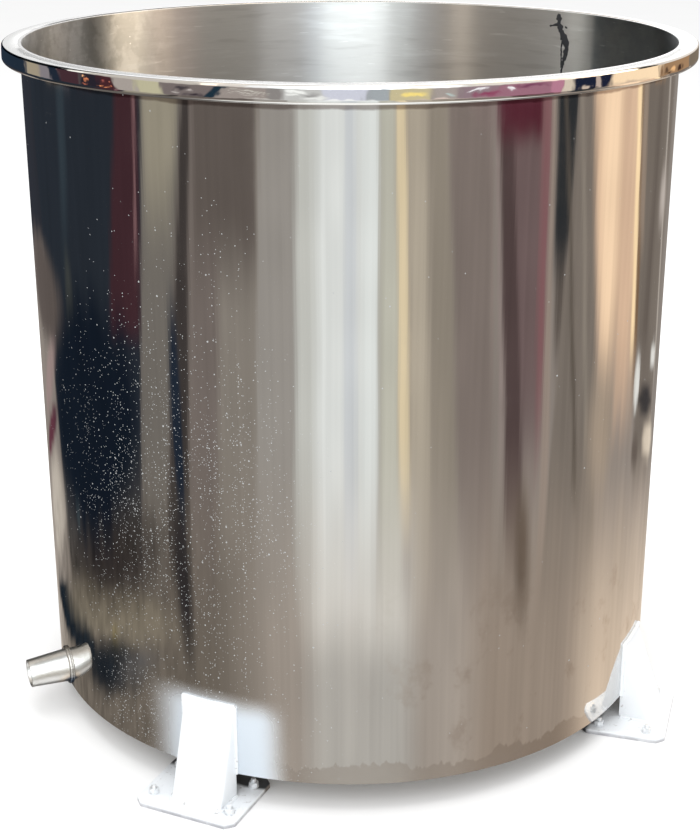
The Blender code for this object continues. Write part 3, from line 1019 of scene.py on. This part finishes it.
# What stands around the tank and shows in the polished steel. Directions are seen from the tank:
# degrees round from the back (90 left, 180 front, 270 right) and degrees above the horizon.
# Each upright panel: name, start and end at 10 below the horizon, start and end at 20 below,
# soft edge, lowest elevation, fade below it, colour as it shows on the steel.
PANELS = (
    ("pale_left_wall", -30.0, 38.0, -30.0, 36.0, 8.0, -60.0, 6.0, (122, 114, 107)),
    ("dark_eaves", 4.0, 46.0, 4.0, 46.0, 6.0, -13.0, 1.5, (40, 42, 48)),
    ("dark_room", 38.0, 106.5, 44.0, 101.0, 2.0, -25.0, 3.0, (36, 41, 48)),
    ("teal_door", 61.0, 66.0, 53.0, 57.0, 4.0, -11.0, 5.0, (46, 55, 62)),
    ("red_cloth_left", 93.0, 104.5, 84.0, 101.0, 3.0, -16.5, 1.0, (60, 38, 43)),
    ("pale_thread", 102.4, 103.3, 98.4, 99.3, 0.6, -13.5, 2.0, (120, 90, 92)),
    ("post_left", 106.0, 121.5, 101.0, 113.6, 2.0, -27.0, 6.0, (107, 102, 96)),
    ("post_left_lit", 107.0, 120.0, 106.0, 112.0, 4.0, -10.0, 5.0, (144, 137, 121)),
    ("dark_post", 121.5, 126.0, 113.6, 122.0, 2.8, -28.5, 3.0, (60, 55, 53)),
    ("mauve_wall_left", 126.0, 137.5, 122.0, 136.0, 3.0, -60.0, 6.0, (110, 101, 96)),
    ("grey_wall_left", 136.0, 150.5, 133.0, 149.0, 4.0, -60.0, 6.0, (130, 123, 115)),
    ("shaded_top", 127.0, 149.0, 125.0, 148.0, 3.0, -12.6, 4.0, (92, 84, 79)),
    ("light_grey_wall", 150.0, 162.5, 147.0, 161.5, 2.0, -60.0, 6.0, (144, 139, 133)),
    ("window_side", 162.0, 171.0, 161.0, 170.0, 2.5, -60.0, 6.0, (187, 187, 181)),
    ("window", 168.5, 184.0, 168.0, 184.0, 6.0, -60.0, 6.0, (213, 215, 212)),
    ("window_bar", 178.0, 181.5, 177.5, 182.0, 2.0, -60.0, 6.0, (196, 199, 201)),
    ("blue_window", 183.0, 189.5, 183.0, 189.5, 3.0, -60.0, 6.0, (214, 217, 214)),
    ("cream_wall", 189.5, 195.0, 190.0, 197.0, 3.0, -60.0, 6.0, (181, 179, 166)),
    ("yellow_post", 195.0, 198.6, 196.8, 200.9, 1.6, -22.0, 4.0, (213, 196, 163)),
    ("pale_olive_wall", 198.8, 206.0, 200.8, 209.0, 3.0, -60.0, 6.0, (170, 160, 144)),
    ("olive_wall", 205.0, 213.0, 208.0, 218.0, 5.0, -60.0, 6.0, (139, 130, 118)),
    ("mauve_wall", 213.0, 227.5, 218.0, 231.0, 3.0, -60.0, 6.0, (121, 110, 104)),
    ("pale_line", 229.4, 230.8, 233.6, 236.0, 0.9, -19.0, 5.0, (142, 129, 124)),
    ("pale_line_2", 227.0, 227.8, 230.7, 231.5, 0.9, -16.0, 6.0, (130, 117, 111)),
    ("red_cloth_right", 231.6, 247.5, 236.0, 250.0, 2.0, -17.5, 7.0, (106, 89, 88)),
    ("red_cloth_fold", 230.8, 236.0, 236.0, 242.5, 2.4, -23.0, 5.0, (78, 64, 63)),
    ("red_cloth_top", 230.5, 248.0, 236.0, 250.0, 4.0, -9.5, 1.0, (80, 36, 46)),
    ("pink_edge", 247.0, 250.6, 248.6, 252.0, 2.4, -17.0, 6.0, (124, 88, 90)),
    ("pale_edge", 250.8, 252.5, 251.8, 255.0, 1.0, -26.0, 4.0, (146, 132, 122)),
    ("gap_foot", 254.0, 258.5, 256.8, 260.2, 2.4, -16.0, 4.0, (88, 80, 74)),
    ("dark_gap", 252.8, 261.5, 255.6, 257.8, 2.2, -13.2, 2.4, (42, 44, 46)),
    ("taupe_wall_right", 261.5, 271.5, 257.0, 279.0, 1.5, -60.0, 6.0, (117, 108, 100)),
    ("dark_slit", 256.8, 258.0, 266.0, 268.0, 2.0, -22.0, 2.0, (88, 80, 72)),
    ("pale_slit", 264.0, 265.6, 272.0, 274.0, 1.5, -20.0, 3.0, (132, 123, 113)),
    ("peach_wall", 271.0, 297.0, 279.0, 306.0, 5.0, -14.5, 7.0, (212, 180, 151)),
    ("peach_core", 275.0, 285.0, 280.5, 287.0, 6.0, -15.0, 5.0, (240, 208, 174)),
    ("peach_shade", 287.5, 293.0, 291.0, 300.0, 5.0, -16.0, 6.0, (206, 174, 147)),
    ("lit_edge", 295.5, 298.6, 302.0, 305.0, 1.2, -16.5, 2.0, (246, 216, 172)),
    ("brown_edge", 298.6, 301.5, 305.0, 308.0, 1.5, -17.0, 3.0, (122, 96, 72)),
    ("dark_right_wall", 301.0, 332.0, 308.0, 330.0, 4.0, -20.5, 3.0, (110, 101, 93)),
    ("tan_stripe", 299.5, 303.5, 306.5, 311.0, 2.4, -12.6, 2.0, (142, 126, 112)),
    ("dark_stripe", 312.0, 316.0, 309.0, 317.0, 6.0, -16.5, 2.0, (97, 88, 81)),
    ("pale_stripe", 324.5, 326.5, 331.0, 333.0, 1.6, -17.0, 3.0, (158, 149, 140)),
)
# Things on the ground and on the walls: name, middle, half size (both in degrees round and degrees
# up), slant (degrees up per degree round), soft share of the edge, colour as it shows on the steel.
PATCHES = (
    ("brown_heap", 36.0, -15.2, 20.0, 2.0, -0.05, 0.4, (84, 76, 72)),
    ("pink_board", 36.0, -18.3, 11.0, 0.9, 0.10, 0.5, (138, 120, 116)),
    ("maroon_board", 33.0, -20.3, 11.0, 0.6, 0.07, 0.4, (86, 48, 58)),
    ("pale_board", 34.0, -22.9, 12.0, 1.9, 0.02, 0.5, (166, 157, 146)),
    ("green_bench", 61.5, -17.0, 3.2, 3.0, 0.0, 0.6, (66, 68, 64)),
    ("pink_rag", 56.5, -19.9, 5.0, 0.45, 0.0, 0.4, (108, 72, 78)),
    ("pale_rag", 53.5, -20.9, 1.8, 0.5, 0.0, 0.4, (126, 114, 108)),
    ("bucket", 58.0, -23.0, 1.6, 0.9, -0.1, 0.4, (112, 126, 128)),
    ("low_dark_edge", 45.5, -27.0, 22.0, 1.0, -0.055, 0.2, (24, 31, 38)),
    ("swirl_1", 50.0, -24.5, 8.0, 0.10, -0.05, 0.6, (62, 58, 54)),
    ("swirl_2", 52.0, -25.1, 9.0, 0.12, -0.08, 0.6, (54, 52, 48)),
    ("swirl_3", 56.0, -25.6, 10.0, 0.10, -0.06, 0.6, (72, 66, 58)),
    ("swirl_4", 66.0, -26.1, 8.0, 0.14, -0.03, 0.6, (80, 74, 62)),
    ("sand", 78.0, -26.9, 36.0, 1.1, -0.02, 0.5, (124, 115, 100)),
    ("mustard_spot", 79.5, -27.8, 3.0, 0.2, 0.0, 0.6, (118, 104, 56)),
    ("puddle", 77.0, -28.85, 20.0, 1.0, -0.006, 0.4, (28, 33, 39)),
    ("puddle_tail", 92.0, -28.9, 12.0, 0.5, 0.02, 0.8, (84, 82, 82)),
    ("dark_foliage", 79.0, -24.9, 33.0, 2.1, 0.0, 0.8, (48, 43, 41)),
    ("dark_depth", 71.0, -19.9, 30.0, 4.8, 0.0, 0.35, (17, 24, 34)),
    ("navy_post", 116.4, -20.0, 2.5, 4.5, -0.35, 0.5, (30, 38, 50)),
    ("post_foot", 116.0, -25.8, 4.6, 2.9, -0.35, 0.7, (44, 41, 41)),
    ("cloth_foot", 245.5, -24.8, 4.2, 2.4, -0.2, 0.8, (100, 87, 76)),
    ("taupe_glow", 283.0, -20.4, 8.0, 2.6, 0.0, 0.8, (160, 144, 127)),
    ("white_card", 308.3, -18.6, 2.6, 1.1, 0.0, 0.3, (214, 212, 206)),
    ("far_card", 326.0, -17.6, 4.0, 0.5, 0.0, 0.4, (205, 202, 196)),
    ("dark_machine", 319.0, -19.2, 9.5, 0.5, 0.0, 0.35, (56, 53, 53)),
    ("pale_stand", 327.0, -20.6, 9.0, 0.7, 0.0, 0.5, (196, 182, 164)),
    ("brown_shadow", 310.5, -21.1, 3.6, 0.7, 0.0, 0.6, (96, 86, 79)),
    ("pale_blotch", 325.0, -12.0, 5.0, 1.1, 0.0, 0.9, (168, 158, 150)),
)
# What stands higher than the horizon and shows on the inside of the tank: name, start, end, soft
# edge, colour as it shows there, over 255 where it is brighter than white.
HIGH_PANELS = (
    ("grey_roof", 0.0, 360.0, 1.0, (120, 116, 110)),
    ("far_right_cloth", 286.0, 346.0, 8.0, (136, 130, 124)),
    ("right_cloth", 281.0, 296.0, 3.0, (20, 19, 18)),
    ("cream_cloth", 264.5, 281.0, 2.5, (270, 248, 217)),
    ("sand_cloth", 251.5, 263.5, 5.0, (219, 196, 174)),
    ("brown_cloth", 241.0, 252.0, 6.0, (167, 151, 140)),
    ("grey_cloth", 218.0, 241.0, 6.0, (143, 137, 129)),
    ("light_grey_cloth", 196.0, 215.0, 8.0, (182, 180, 177)),
    ("white_side", 188.0, 197.5, 5.0, (214, 219, 223)),
    ("white_sheet", 165.0, 190.5, 3.0, (266, 271, 271)),
    ("grey_side", 154.5, 164.0, 3.0, (202, 206, 205)),
    ("shaded_side", 147.0, 155.5, 4.0, (155, 154, 153)),
    ("brown_bar", 140.0, 147.0, 4.0, (138, 132, 126)),
    ("tan_bar", 132.5, 139.5, 2.0, (184, 173, 160)),
    ("dull_wall", 92.0, 131.0, 4.0, (120, 115, 109)),
    ("light_post", 80.0, 88.5, 2.0, (164, 161, 154)),
    ("black_frame", 4.0, 80.0, 1.0, (0, 1, 3)),
    ("dark_pane", 50.0, 66.0, 3.0, (14, 15, 15)),
)
# What the rim's outer face shows, above the wall's share of the surroundings: name, start and end at
# the face's foot, start and end at its top, soft edge, colour as it shows there.
RIM_PANELS = (
    ("grey_room", 0.0, 360.0, 0.0, 360.0, 1.0, (120, 112, 108)),
    ("navy_corner", 0.0, 54.0, 0.0, 54.5, 1.5, (30, 40, 52)),
    ("cream_gap", 54.5, 71.5, 55.0, 69.0, 2.0, (150, 138, 118)),
    ("mauve_gap", 64.5, 72.5, 63.0, 69.5, 3.0, (122, 116, 120)),
    ("navy_column", 71.5, 77.0, 69.0, 74.5, 1.2, (30, 38, 50)),
    ("maroon_cloth", 76.0, 86.0, 74.5, 86.0, 2.0, (64, 42, 48)),
    ("dark_stall", 86.0, 97.0, 86.0, 97.0, 2.0, (38, 34, 42)),
    ("maroon_stall", 95.5, 104.0, 94.5, 101.5, 2.0, (66, 36, 40)),
    ("cream_post", 104.0, 112.0, 101.5, 111.0, 1.5, (158, 149, 142)),
    ("olive_post", 111.5, 119.5, 111.0, 119.0, 2.0, (178, 172, 144)),
    ("mauve_heap", 119.8, 136.0, 119.3, 139.0, 1.2, (112, 102, 100)),
    ("teal_beam", 132.5, 136.5, 138.5, 143.0, 1.0, (28, 46, 58)),
    ("mauve_wall", 137.0, 158.0, 143.0, 158.0, 1.5, (146, 136, 130)),
    ("grey_wall", 154.5, 160.0, 154.5, 160.0, 2.0, (132, 127, 124)),
    ("light_wall", 159.5, 174.5, 159.5, 174.5, 2.0, (186, 185, 182)),
    ("lilac_window", 174.0, 184.0, 172.0, 184.5, 3.0, (196, 197, 208)),
    ("blue_wall", 184.0, 193.0, 184.0, 193.0, 3.0, (156, 161, 164)),
    ("tan_board", 193.0, 204.5, 192.5, 205.0, 2.0, (190, 178, 142)),
    ("taupe_wall", 204.5, 214.5, 204.5, 214.0, 3.0, (158, 148, 142)),
    ("mauve_cloth", 214.0, 222.0, 214.0, 226.0, 4.0, (138, 118, 124)),
    ("pink_cloth", 220.0, 250.5, 226.0, 250.5, 6.0, (148, 104, 118)),
    ("pink_fold", 244.5, 250.0, 245.5, 250.0, 2.0, (172, 118, 136)),
    ("cream_edge", 250.0, 253.5, 250.0, 253.5, 1.0, (200, 186, 168)),
    ("navy_frame", 253.5, 262.0, 253.5, 262.0, 1.0, (26, 32, 50)),
    ("cream_frame", 262.0, 265.5, 262.0, 265.5, 1.0, (176, 158, 146)),
    ("navy_frame_2", 265.5, 270.5, 265.0, 270.5, 1.0, (28, 32, 50)),
    ("peach_wall", 270.5, 297.0, 271.0, 297.0, 2.0, (240, 211, 174)),
    ("brown_detail", 297.0, 322.0, 297.0, 322.0, 2.0, (150, 118, 88)),
    ("brown_end", 322.0, 360.0, 322.0, 360.0, 3.0, (110, 98, 84)),
)
# Smaller things there: name, middle (degrees round, and -1 at the face's foot to 1 at its top), half
# sizes in the same measures, slant, soft share of the edge, colour as it shows.
RIM_SPOTS = (
    ("lamp_1", 87.6, 0.45, 0.8, 0.22, 0.0, 0.5, (250, 190, 140)),
    ("lamp_2", 89.0, 0.0, 0.8, 0.16, 0.0, 0.5, (226, 140, 96)),
    ("lamp_3", 88.2, -0.5, 1.0, 0.12, 0.0, 0.6, (190, 110, 84)),
    ("lamp_4", 95.2, -0.45, 0.8, 0.14, 0.0, 0.5, (238, 150, 100)),
    ("lamp_5", 97.6, -0.75, 1.6, 0.13, 0.0, 0.5, (230, 150, 104)),
    ("lamp_6", 96.0, 0.35, 0.6, 0.12, 0.0, 0.5, (176, 96, 88)),
    ("lamp_7", 99.8, 0.25, 0.6, 0.14, 0.0, 0.5, (214, 130, 104)),
    ("lamp_8", 100.2, -0.55, 0.7, 0.12, 0.0, 0.5, (214, 126, 92)),
    ("dark_heap_1", 126.5, 0.45, 2.4, 0.25, 0.05, 0.7, (62, 56, 60)),
    ("dark_heap_2", 130.5, -0.6, 3.0, 0.28, 0.02, 0.7, (54, 46, 52)),
    ("pale_heap", 124.5, -0.15, 1.6, 0.15, 0.0, 0.6, (168, 160, 156)),
    ("pale_chip", 128.8, 0.1, 0.7, 0.14, 0.0, 0.6, (190, 180, 176)),
    ("wire_1", 150.0, 0.42, 6.0, 0.055, -0.055, 0.5, (214, 212, 200)),
    ("wire_2", 149.0, 0.12, 6.5, 0.05, -0.05, 0.5, (206, 202, 192)),
    ("wire_3", 147.5, -0.18, 5.5, 0.045, -0.04, 0.5, (190, 184, 176)),
    ("white_heap_1", 164.0, 0.55, 4.2, 0.30, -0.03, 0.5, (236, 236, 232)),
    ("white_heap_2", 162.5, 0.05, 2.4, 0.20, -0.05, 0.5, (228, 228, 224)),
    ("grey_heap", 168.5, 0.1, 2.6, 0.35, 0.0, 0.8, (150, 148, 146)),
    ("white_heap_3", 170.0, -0.45, 5.0, 0.25, 0.02, 0.6, (226, 226, 222)),
    ("white_foot_1", 155.0, -0.85, 7.0, 0.18, 0.0, 0.7, (206, 202, 196)),
    ("white_foot_2", 180.0, -0.92, 12.0, 0.30, 0.0, 0.7, (238, 238, 236)),
    ("yellow_board", 199.6, 0.1, 3.6, 0.42, 0.0, 0.5, (236, 212, 128)),
    ("cyan_rag", 210.5, 0.0, 2.0, 0.24, 0.0, 0.6, (176, 188, 184)),
    ("white_rag_1", 219.5, 0.5, 3.2, 0.13, 0.10, 0.5, (240, 236, 238)),
    ("white_rag_2", 230.0, 0.28, 1.9, 0.14, -0.08, 0.5, (240, 236, 238)),
    ("purple_fold", 222.5, -0.25, 4.0, 0.40, 0.0, 0.8, (136, 66, 92)),
    ("purple_fold_2", 237.5, 0.55, 6.0, 0.3, 0.0, 0.8, (112, 62, 86)),
    ("low_shelf", 212.0, -0.95, 14.0, 0.2, 0.0, 0.6, (206, 186, 176)),
    ("cream_bump", 257.5, -0.55, 2.0, 0.40, 0.0, 0.4, (190, 172, 156)),
    ("black_shelf", 259.0, -0.98, 5.0, 0.12, 0.0, 0.4, (28, 24, 30)),
    ("peach_shade", 279.0, -0.75, 9.0, 0.35, 0.0, 0.8, (196, 172, 148)),
    ("orange_box_1", 306.0, 0.0, 3.2, 0.40, 0.0, 0.4, (226, 176, 124)),
    ("dark_box_1", 299.5, 0.0, 1.3, 0.6, 0.0, 0.4, (84, 64, 50)),
    ("dark_box_2", 302.0, -0.65, 2.2, 0.2, 0.0, 0.5, (62, 44, 36)),
    ("dark_box_3", 313.0, -0.1, 2.2, 0.35, 0.0, 0.5, (58, 40, 34)),
)
HIGH_FROM, HIGH_FULL = -1.2, 2.0            # elevations where the high things begin and are full
HIGH_GAIN = 2.60                            # the brushed wall shows only part of what is above
# Colours of the ground, as they show on the steel: name, middle of each stretch, half width, colour.
GROUND_COLOUR = (160, 150, 140)
GROUND_STRETCHES = (
    ("shaded_ground", 87.0, 62.0, (103, 95, 86)),
    ("lit_ground", 184.0, 20.0, (203, 198, 190)),
    ("dull_ground", 254.0, 30.0, (147, 133, 120)),
    ("warm_ground", 313.0, 38.0, (202, 182, 161)),
)
GROUND_FROM, GROUND_FULL = -20.0, -29.0     # elevations where the walls give way to the ground
NEAR_SHADE = 0.68                           # what the ground in front keeps of its light near the tank
NEAR_GROUND = (250, 248, 244)               # floor close to the tank in front, seen steeply
UNDER_TANK = (92, 88, 85)                   # and on the other sides
OTHER_WALLS = (134, 125, 118)               # wherever no panel stands
CEILING_FROM, CEILING_FULL = 62.0, 80.0
CEILING_STRENGTH = 0.5
BACKDROP_STRENGTH = 1.44                    # white sheet behind the tank
BACKDROP_LEFT = 0.85                        # its darker left part
# Unevenness: sums of noise, each given by its steps for a degree round and a degree up, its seed and
# its strength.
RAGGED_EDGES = ((0.35, 0.25, 3, 1.0), (1.2, 0.5, 5, 0.4))
SWIRLS = ((0.11, 0.9, 8, 0.45), (0.3, 2.2, 9, 0.22))
STREAKS = ((0.9, 0.06, 11, 0.6), (2.3, 0.05, 12, 0.4))
BLUR = ((0.16, 0.5, 13, 1.0),)
MOTTLE = ((0.7, 2.6, 14, 0.6), (1.7, 5.0, 15, 0.4))
# Lamps: name, place, what it points at, size, watts
LAMPS = (
    ("key", (-1.2, -4.2, 4.2), (0, 0, 0.2), 3.0, 90),
    ("overhead", (0.3, 0.2, 5.0), (0, 0, 0), 4.5, 150),
)


def uneven(turn, rise, waves):
    """Sum of the noises of one of the lists above."""
    return sum(value_noise(turn * across, rise * up, seed) * strength
               for across, up, seed, strength in waves)


def shown(colour):
    """Linear light that looks on polished steel like a screen colour, given as 0 to 255."""
    share = np.array(colour) / 255
    light = np.where(share <= 0.04045, share / 12.92, ((share + 0.055) / 1.055) ** 2.4)
    return light / STEEL_SHADE


def blend(colour, mask, other):
    """Lays one colour over another where the mask is 1."""
    return colour + mask[..., None] * (other - colour)


def between(place, first, last, edge):
    """1 from first to last, with soft edges."""
    half = edge / 2
    return smooth_step(place, first - half, first + half) * smooth_step(place, last + half, last - half)


def spot(u, v, soft, ragged=0.0):
    """1 inside the unit circle, with a soft edge."""
    return smooth_step(np.hypot(u, v) + ragged, 1.0 + soft * 0.5, 1.0 - soft)


def beside(turn, rise):
    """Leans the high panels so that each stays upright when the brushed wall smears it."""
    result = turn.copy()
    for row in range(turn.shape[0]):
        height = math.radians(min(max(rise[row, 0], 0.0), 80.0))
        widest = math.pi / 2 - height - 0.02
        slant = np.linspace(-widest, widest, 181)
        level = np.sqrt(np.clip(1 - (math.sin(height) / np.cos(slant)) ** 2, 0, 1))
        leaves = np.arctan2(np.sin(slant), np.cos(slant) * level)
        result[row] = np.interp(turn[row], 180 + np.degrees(slant + leaves), 180 + np.degrees(2 * slant))
    return result


def add_walls(turn, rise, ragged):
    """The upright panels, one over the other."""
    drop = np.clip((-10 - rise) / 10, -1.0, 1.6)
    colour = np.ones(turn.shape + (3,)) * shown(OTHER_WALLS)
    for _, start, end, start_low, end_low, edge, low, fade, shade in PANELS:
        first = start + (start_low - start) * drop
        last = end + (end_low - end) * drop
        foot = smooth_step(rise + ragged * fade * 0.1, low - fade, low)
        for lap in (0, 360) if start < 0 else (0,):
            place = turn - lap + ragged * min(0.4, edge * 0.12)
            colour = blend(colour, between(place, first, last, edge) * foot, shown(shade))
    return colour


def add_ground(colour, turn, rise, edge):
    """The ground from where the walls give way to it, darker towards the tank in front."""
    ground = np.ones(colour.shape) * shown(GROUND_COLOUR)
    for _, middle, half, shade in GROUND_STRETCHES:
        away = np.abs((turn - middle + 180) % 360 - 180)
        ground = blend(ground, smooth_step(away, half * 1.25, half * 0.6), shown(shade))
    front = smooth_step(np.abs(turn - 184), 30, 12) * smooth_step(rise, -26.5, -29.6)
    ground = ground * (1 - front * (1 - NEAR_SHADE))[..., None]
    return blend(colour, smooth_step(edge, GROUND_FROM, GROUND_FULL), ground)


def add_patches(colour, turn, rise, swirl, ragged):
    """The things on the ground and on the walls; those named swirl are stirred the most."""
    for name, middle, height, half_turn, half_rise, slant, soft, shade in PATCHES:
        stirred = 1.0 if name.startswith("swirl") else 0.2
        u = (turn - middle) / half_turn
        v = (rise + swirl * stirred - height - slant * (turn - middle)) / half_rise
        colour = blend(colour, spot(u, v, soft, ragged * 0.08), shown(shade))
    return colour


def add_unevenness(colour, turn, rise):
    """Streaks, blur and, on the left near the ground, mottle."""
    streaks = uneven(turn, rise, STREAKS) * 0.085
    blur = uneven(turn, rise, BLUR) * 0.05
    mottle = uneven(turn, rise, MOTTLE) * 0.42
    mottle *= smooth_step(turn, 135, 105) * smooth_step(rise, -21.5, -25)
    return colour * (1 + streaks + blur + mottle)[..., None]


def add_rim_things(colour, turn, rise):
    """Lays what the rim shows over the stretch just below the horizon."""
    aside = ((turn - 180) / 160) ** 2
    foot = -7.83 + 0.50 * aside             # elevation that the foot of the rim's face shows
    top = -1.80 - 4.80 * aside              # and its top
    wall = -9.16 + 1.55 * aside             # and the top of the wall
    place = 2 * (rise - foot) / (top - foot) - 1
    share = np.clip((place + 1) / 2, -0.2, 1.2)
    seen = np.ones(colour.shape)
    for _, start, end, start_high, end_high, edge, shade in RIM_PANELS:
        first = start + (start_high - start) * share
        last = end + (end_high - end) * share
        seen = blend(seen, between(turn, first, last, edge), shown(shade))
    for _, middle, height, half_turn, half_height, slant, soft, shade in RIM_SPOTS:
        u = (turn - middle) / half_turn
        v = (place - height - slant * (turn - middle)) / half_height
        seen = blend(seen, spot(u, v, soft), shown(shade))
    return blend(colour, smooth_step((rise - wall) / (foot - wall), 0.45, 0.8), seen)


def add_high_things(colour, turn, rise):
    """What shows on the inside of the tank, the sheet behind the tank and the ceiling."""
    place = beside(turn, rise)
    high = np.ones(colour.shape)
    for _, start, end, edge, shade in HIGH_PANELS:
        high = blend(high, between(place, start, end, edge), shown(shade) * HIGH_GAIN)
    colour = blend(colour, smooth_step(rise, HIGH_FROM, HIGH_FULL), high)
    side = (turn + 180) % 360 - 180
    backdrop = smooth_step(np.abs(side), 16.5, 13) * smooth_step(rise, -1, 3) * smooth_step(rise, 20, 14)
    strength = BACKDROP_STRENGTH - (BACKDROP_STRENGTH - BACKDROP_LEFT) * smooth_step(side, 3, 12)
    colour = blend(colour, backdrop, strength[..., None])
    return blend(colour, smooth_step(rise, CEILING_FROM, CEILING_FULL), CEILING_STRENGTH)


def surround_colours(turn, rise):
    """Colour of the surroundings in each direction, before the dents of the steel."""
    ragged = uneven(turn, rise, RAGGED_EDGES)
    swirl = uneven(turn, rise, SWIRLS) * smooth_step(turn, 112, 70) * smooth_step(rise, -22, -26)
    colour = add_walls(turn, rise + swirl, ragged)
    colour = add_ground(colour, turn, rise, rise + swirl + ragged * 0.35)
    colour = add_patches(colour, turn, rise, swirl, ragged)
    colour = add_unevenness(colour, turn, rise)
    colour = blend(colour, smooth_step(rise, -33, -40), shown(UNDER_TANK))
    in_front = smooth_step(rise, -33, -44) * smooth_step(np.abs(turn - 190), 85, 50)
    colour = blend(colour, in_front, shown(NEAR_GROUND))
    colour = add_rim_things(colour, turn, rise + ragged * 0.12)
    return np.clip(add_high_things(colour, turn, rise), 0, None)


def surround_material():
    """Plain emission of the colours on the surround."""
    material = bpy.data.materials.new("surround")
    material.use_nodes = True
    nodes = material.node_tree.nodes
    links = material.node_tree.links
    nodes.remove(nodes["Principled BSDF"])
    shade = nodes.new("ShaderNodeAttribute")
    shade.attribute_name = "shade"
    glow = nodes.new("ShaderNodeEmission")
    glow.inputs["Strength"].default_value = 1.0
    links.new(shade.outputs["Color"], glow.inputs["Color"])
    links.new(glow.outputs[0], nodes["Material Output"].inputs["Surface"])
    material.cycles.emission_sampling = "NONE"
    return material


def make_surround():
    """Big ball around the studio that only the steel shows."""
    rises = np.concatenate([np.arange(-90, -36, 9.0), np.arange(-36, -9, 0.35), np.arange(-9, -0.3, 0.3),
                            np.arange(0, 15, 1.5), np.arange(15, 90.1, 7.5)])
    turn, rise = np.meshgrid(np.arange(0, 360, 0.5), rises)
    level = np.cos(np.radians(rise)) * SURROUND_RADIUS
    places = np.stack([-np.sin(np.radians(turn)) * level, np.cos(np.radians(turn)) * level,
                       np.sin(np.radians(rise)) * SURROUND_RADIUS], axis=-1).reshape(-1, 3)
    index = np.arange(turn.size).reshape(turn.shape)
    following = np.roll(index, -1, axis=1)
    faces = np.stack([index[:-1], following[:-1], following[1:], index[1:]], axis=-1).reshape(-1, 4)
    mesh = bpy.data.meshes.new("surround")
    mesh.from_pydata(places.tolist(), [], faces.tolist())
    colours = np.ones((turn.size, 4))
    colours[:, :3] = surround_colours(turn, rise).reshape(-1, 3)
    shade = mesh.color_attributes.new("shade", "FLOAT_COLOR", "POINT")
    shade.data.foreach_set("color", colours.ravel())
    mesh.materials.append(surround_material())
    surround = add_object("surround", mesh)
    surround.location = (0, 0, WALL_BOTTOM)
    for kind in ("camera", "diffuse", "transmission", "volume_scatter", "shadow"):
        setattr(surround, "visible_" + kind, False)


def make_ground():
    """Plain pale floor, which the steel doesn't mirror."""
    bm = bmesh.new()
    bmesh.ops.create_circle(bm, cap_ends=True, segments=96, radius=FLOOR_RADIUS)
    mesh = bpy.data.meshes.new("studio_floor")
    bm.to_mesh(mesh)
    bm.free()
    net = Net("studio_floor")
    colour = net.mix(net.noise(3.0, 2.0), (0.93, 0.93, 0.93), (0.91, 0.91, 0.91))
    mesh.materials.append(net.finish(0.0, colour, 0.9, Specular_IOR_Level=0.0))
    ground = add_object("studio_floor", mesh)
    ground.visible_glossy = False


def make_lights():
    """Lamps that the steel doesn't mirror, and an even white sky."""
    for name, place, target, size, watts in LAMPS:
        light = bpy.data.lights.new(name, "AREA")
        light.size = size
        light.energy = watts
        lamp = add_object(name, light)
        lamp.location = place
        lamp.rotation_euler = (Vector(target) - Vector(place)).to_track_quat("-Z", "Y").to_euler()
        lamp.visible_glossy = False
        lamp.visible_camera = False
    world = bpy.data.worlds.new("studio")
    world.use_nodes = True
    background = world.node_tree.nodes["Background"]
    background.inputs["Color"].default_value = (1.0, 1.0, 1.0, 1.0)
    background.inputs["Strength"].default_value = 1.0
    bpy.context.scene.world = world


def make_camera():
    data = bpy.data.cameras.new("camera")
    data.lens = CAMERA_LENS
    data.sensor_fit = "AUTO"
    camera = add_object("camera", data)
    camera.location = (0.0, -CAMERA_DISTANCE, TOP + CAMERA_ABOVE_RIM)
    camera.rotation_euler = (math.radians(90 - CAMERA_TILT), 0.0, 0.0)
    bpy.context.scene.camera = camera


def main():
    scene = bpy.context.scene
    scene.view_settings.view_transform = "Standard"
    scene.view_settings.look = "None"
    make_camera()
    make_surround()
    make_ground()
    make_lights()
    weld = weld_material()
    make_wall(polished_wall_material(), satin_wall_material())
    polished_ring = rim_material()
    make_rim(polished_ring)
    make_rim_welds(polished_ring, grime_and_shade_material())
    make_floor(satin_floor_material(), weld)
    make_drain(drain_material(), weld)
    make_paint_run(dried_paint_material())
    coat = white_paint_material()
    zinc = zinc_material()
    for name, azimuth, shift, turn in FEET:
        make_bracket(name, azimuth, coat)
        make_bracket_welds(name, azimuth, coat)
        make_plate(name, azimuth, shift, turn, coat)
        make_bolts(name, azimuth, shift, turn, zinc)


main()
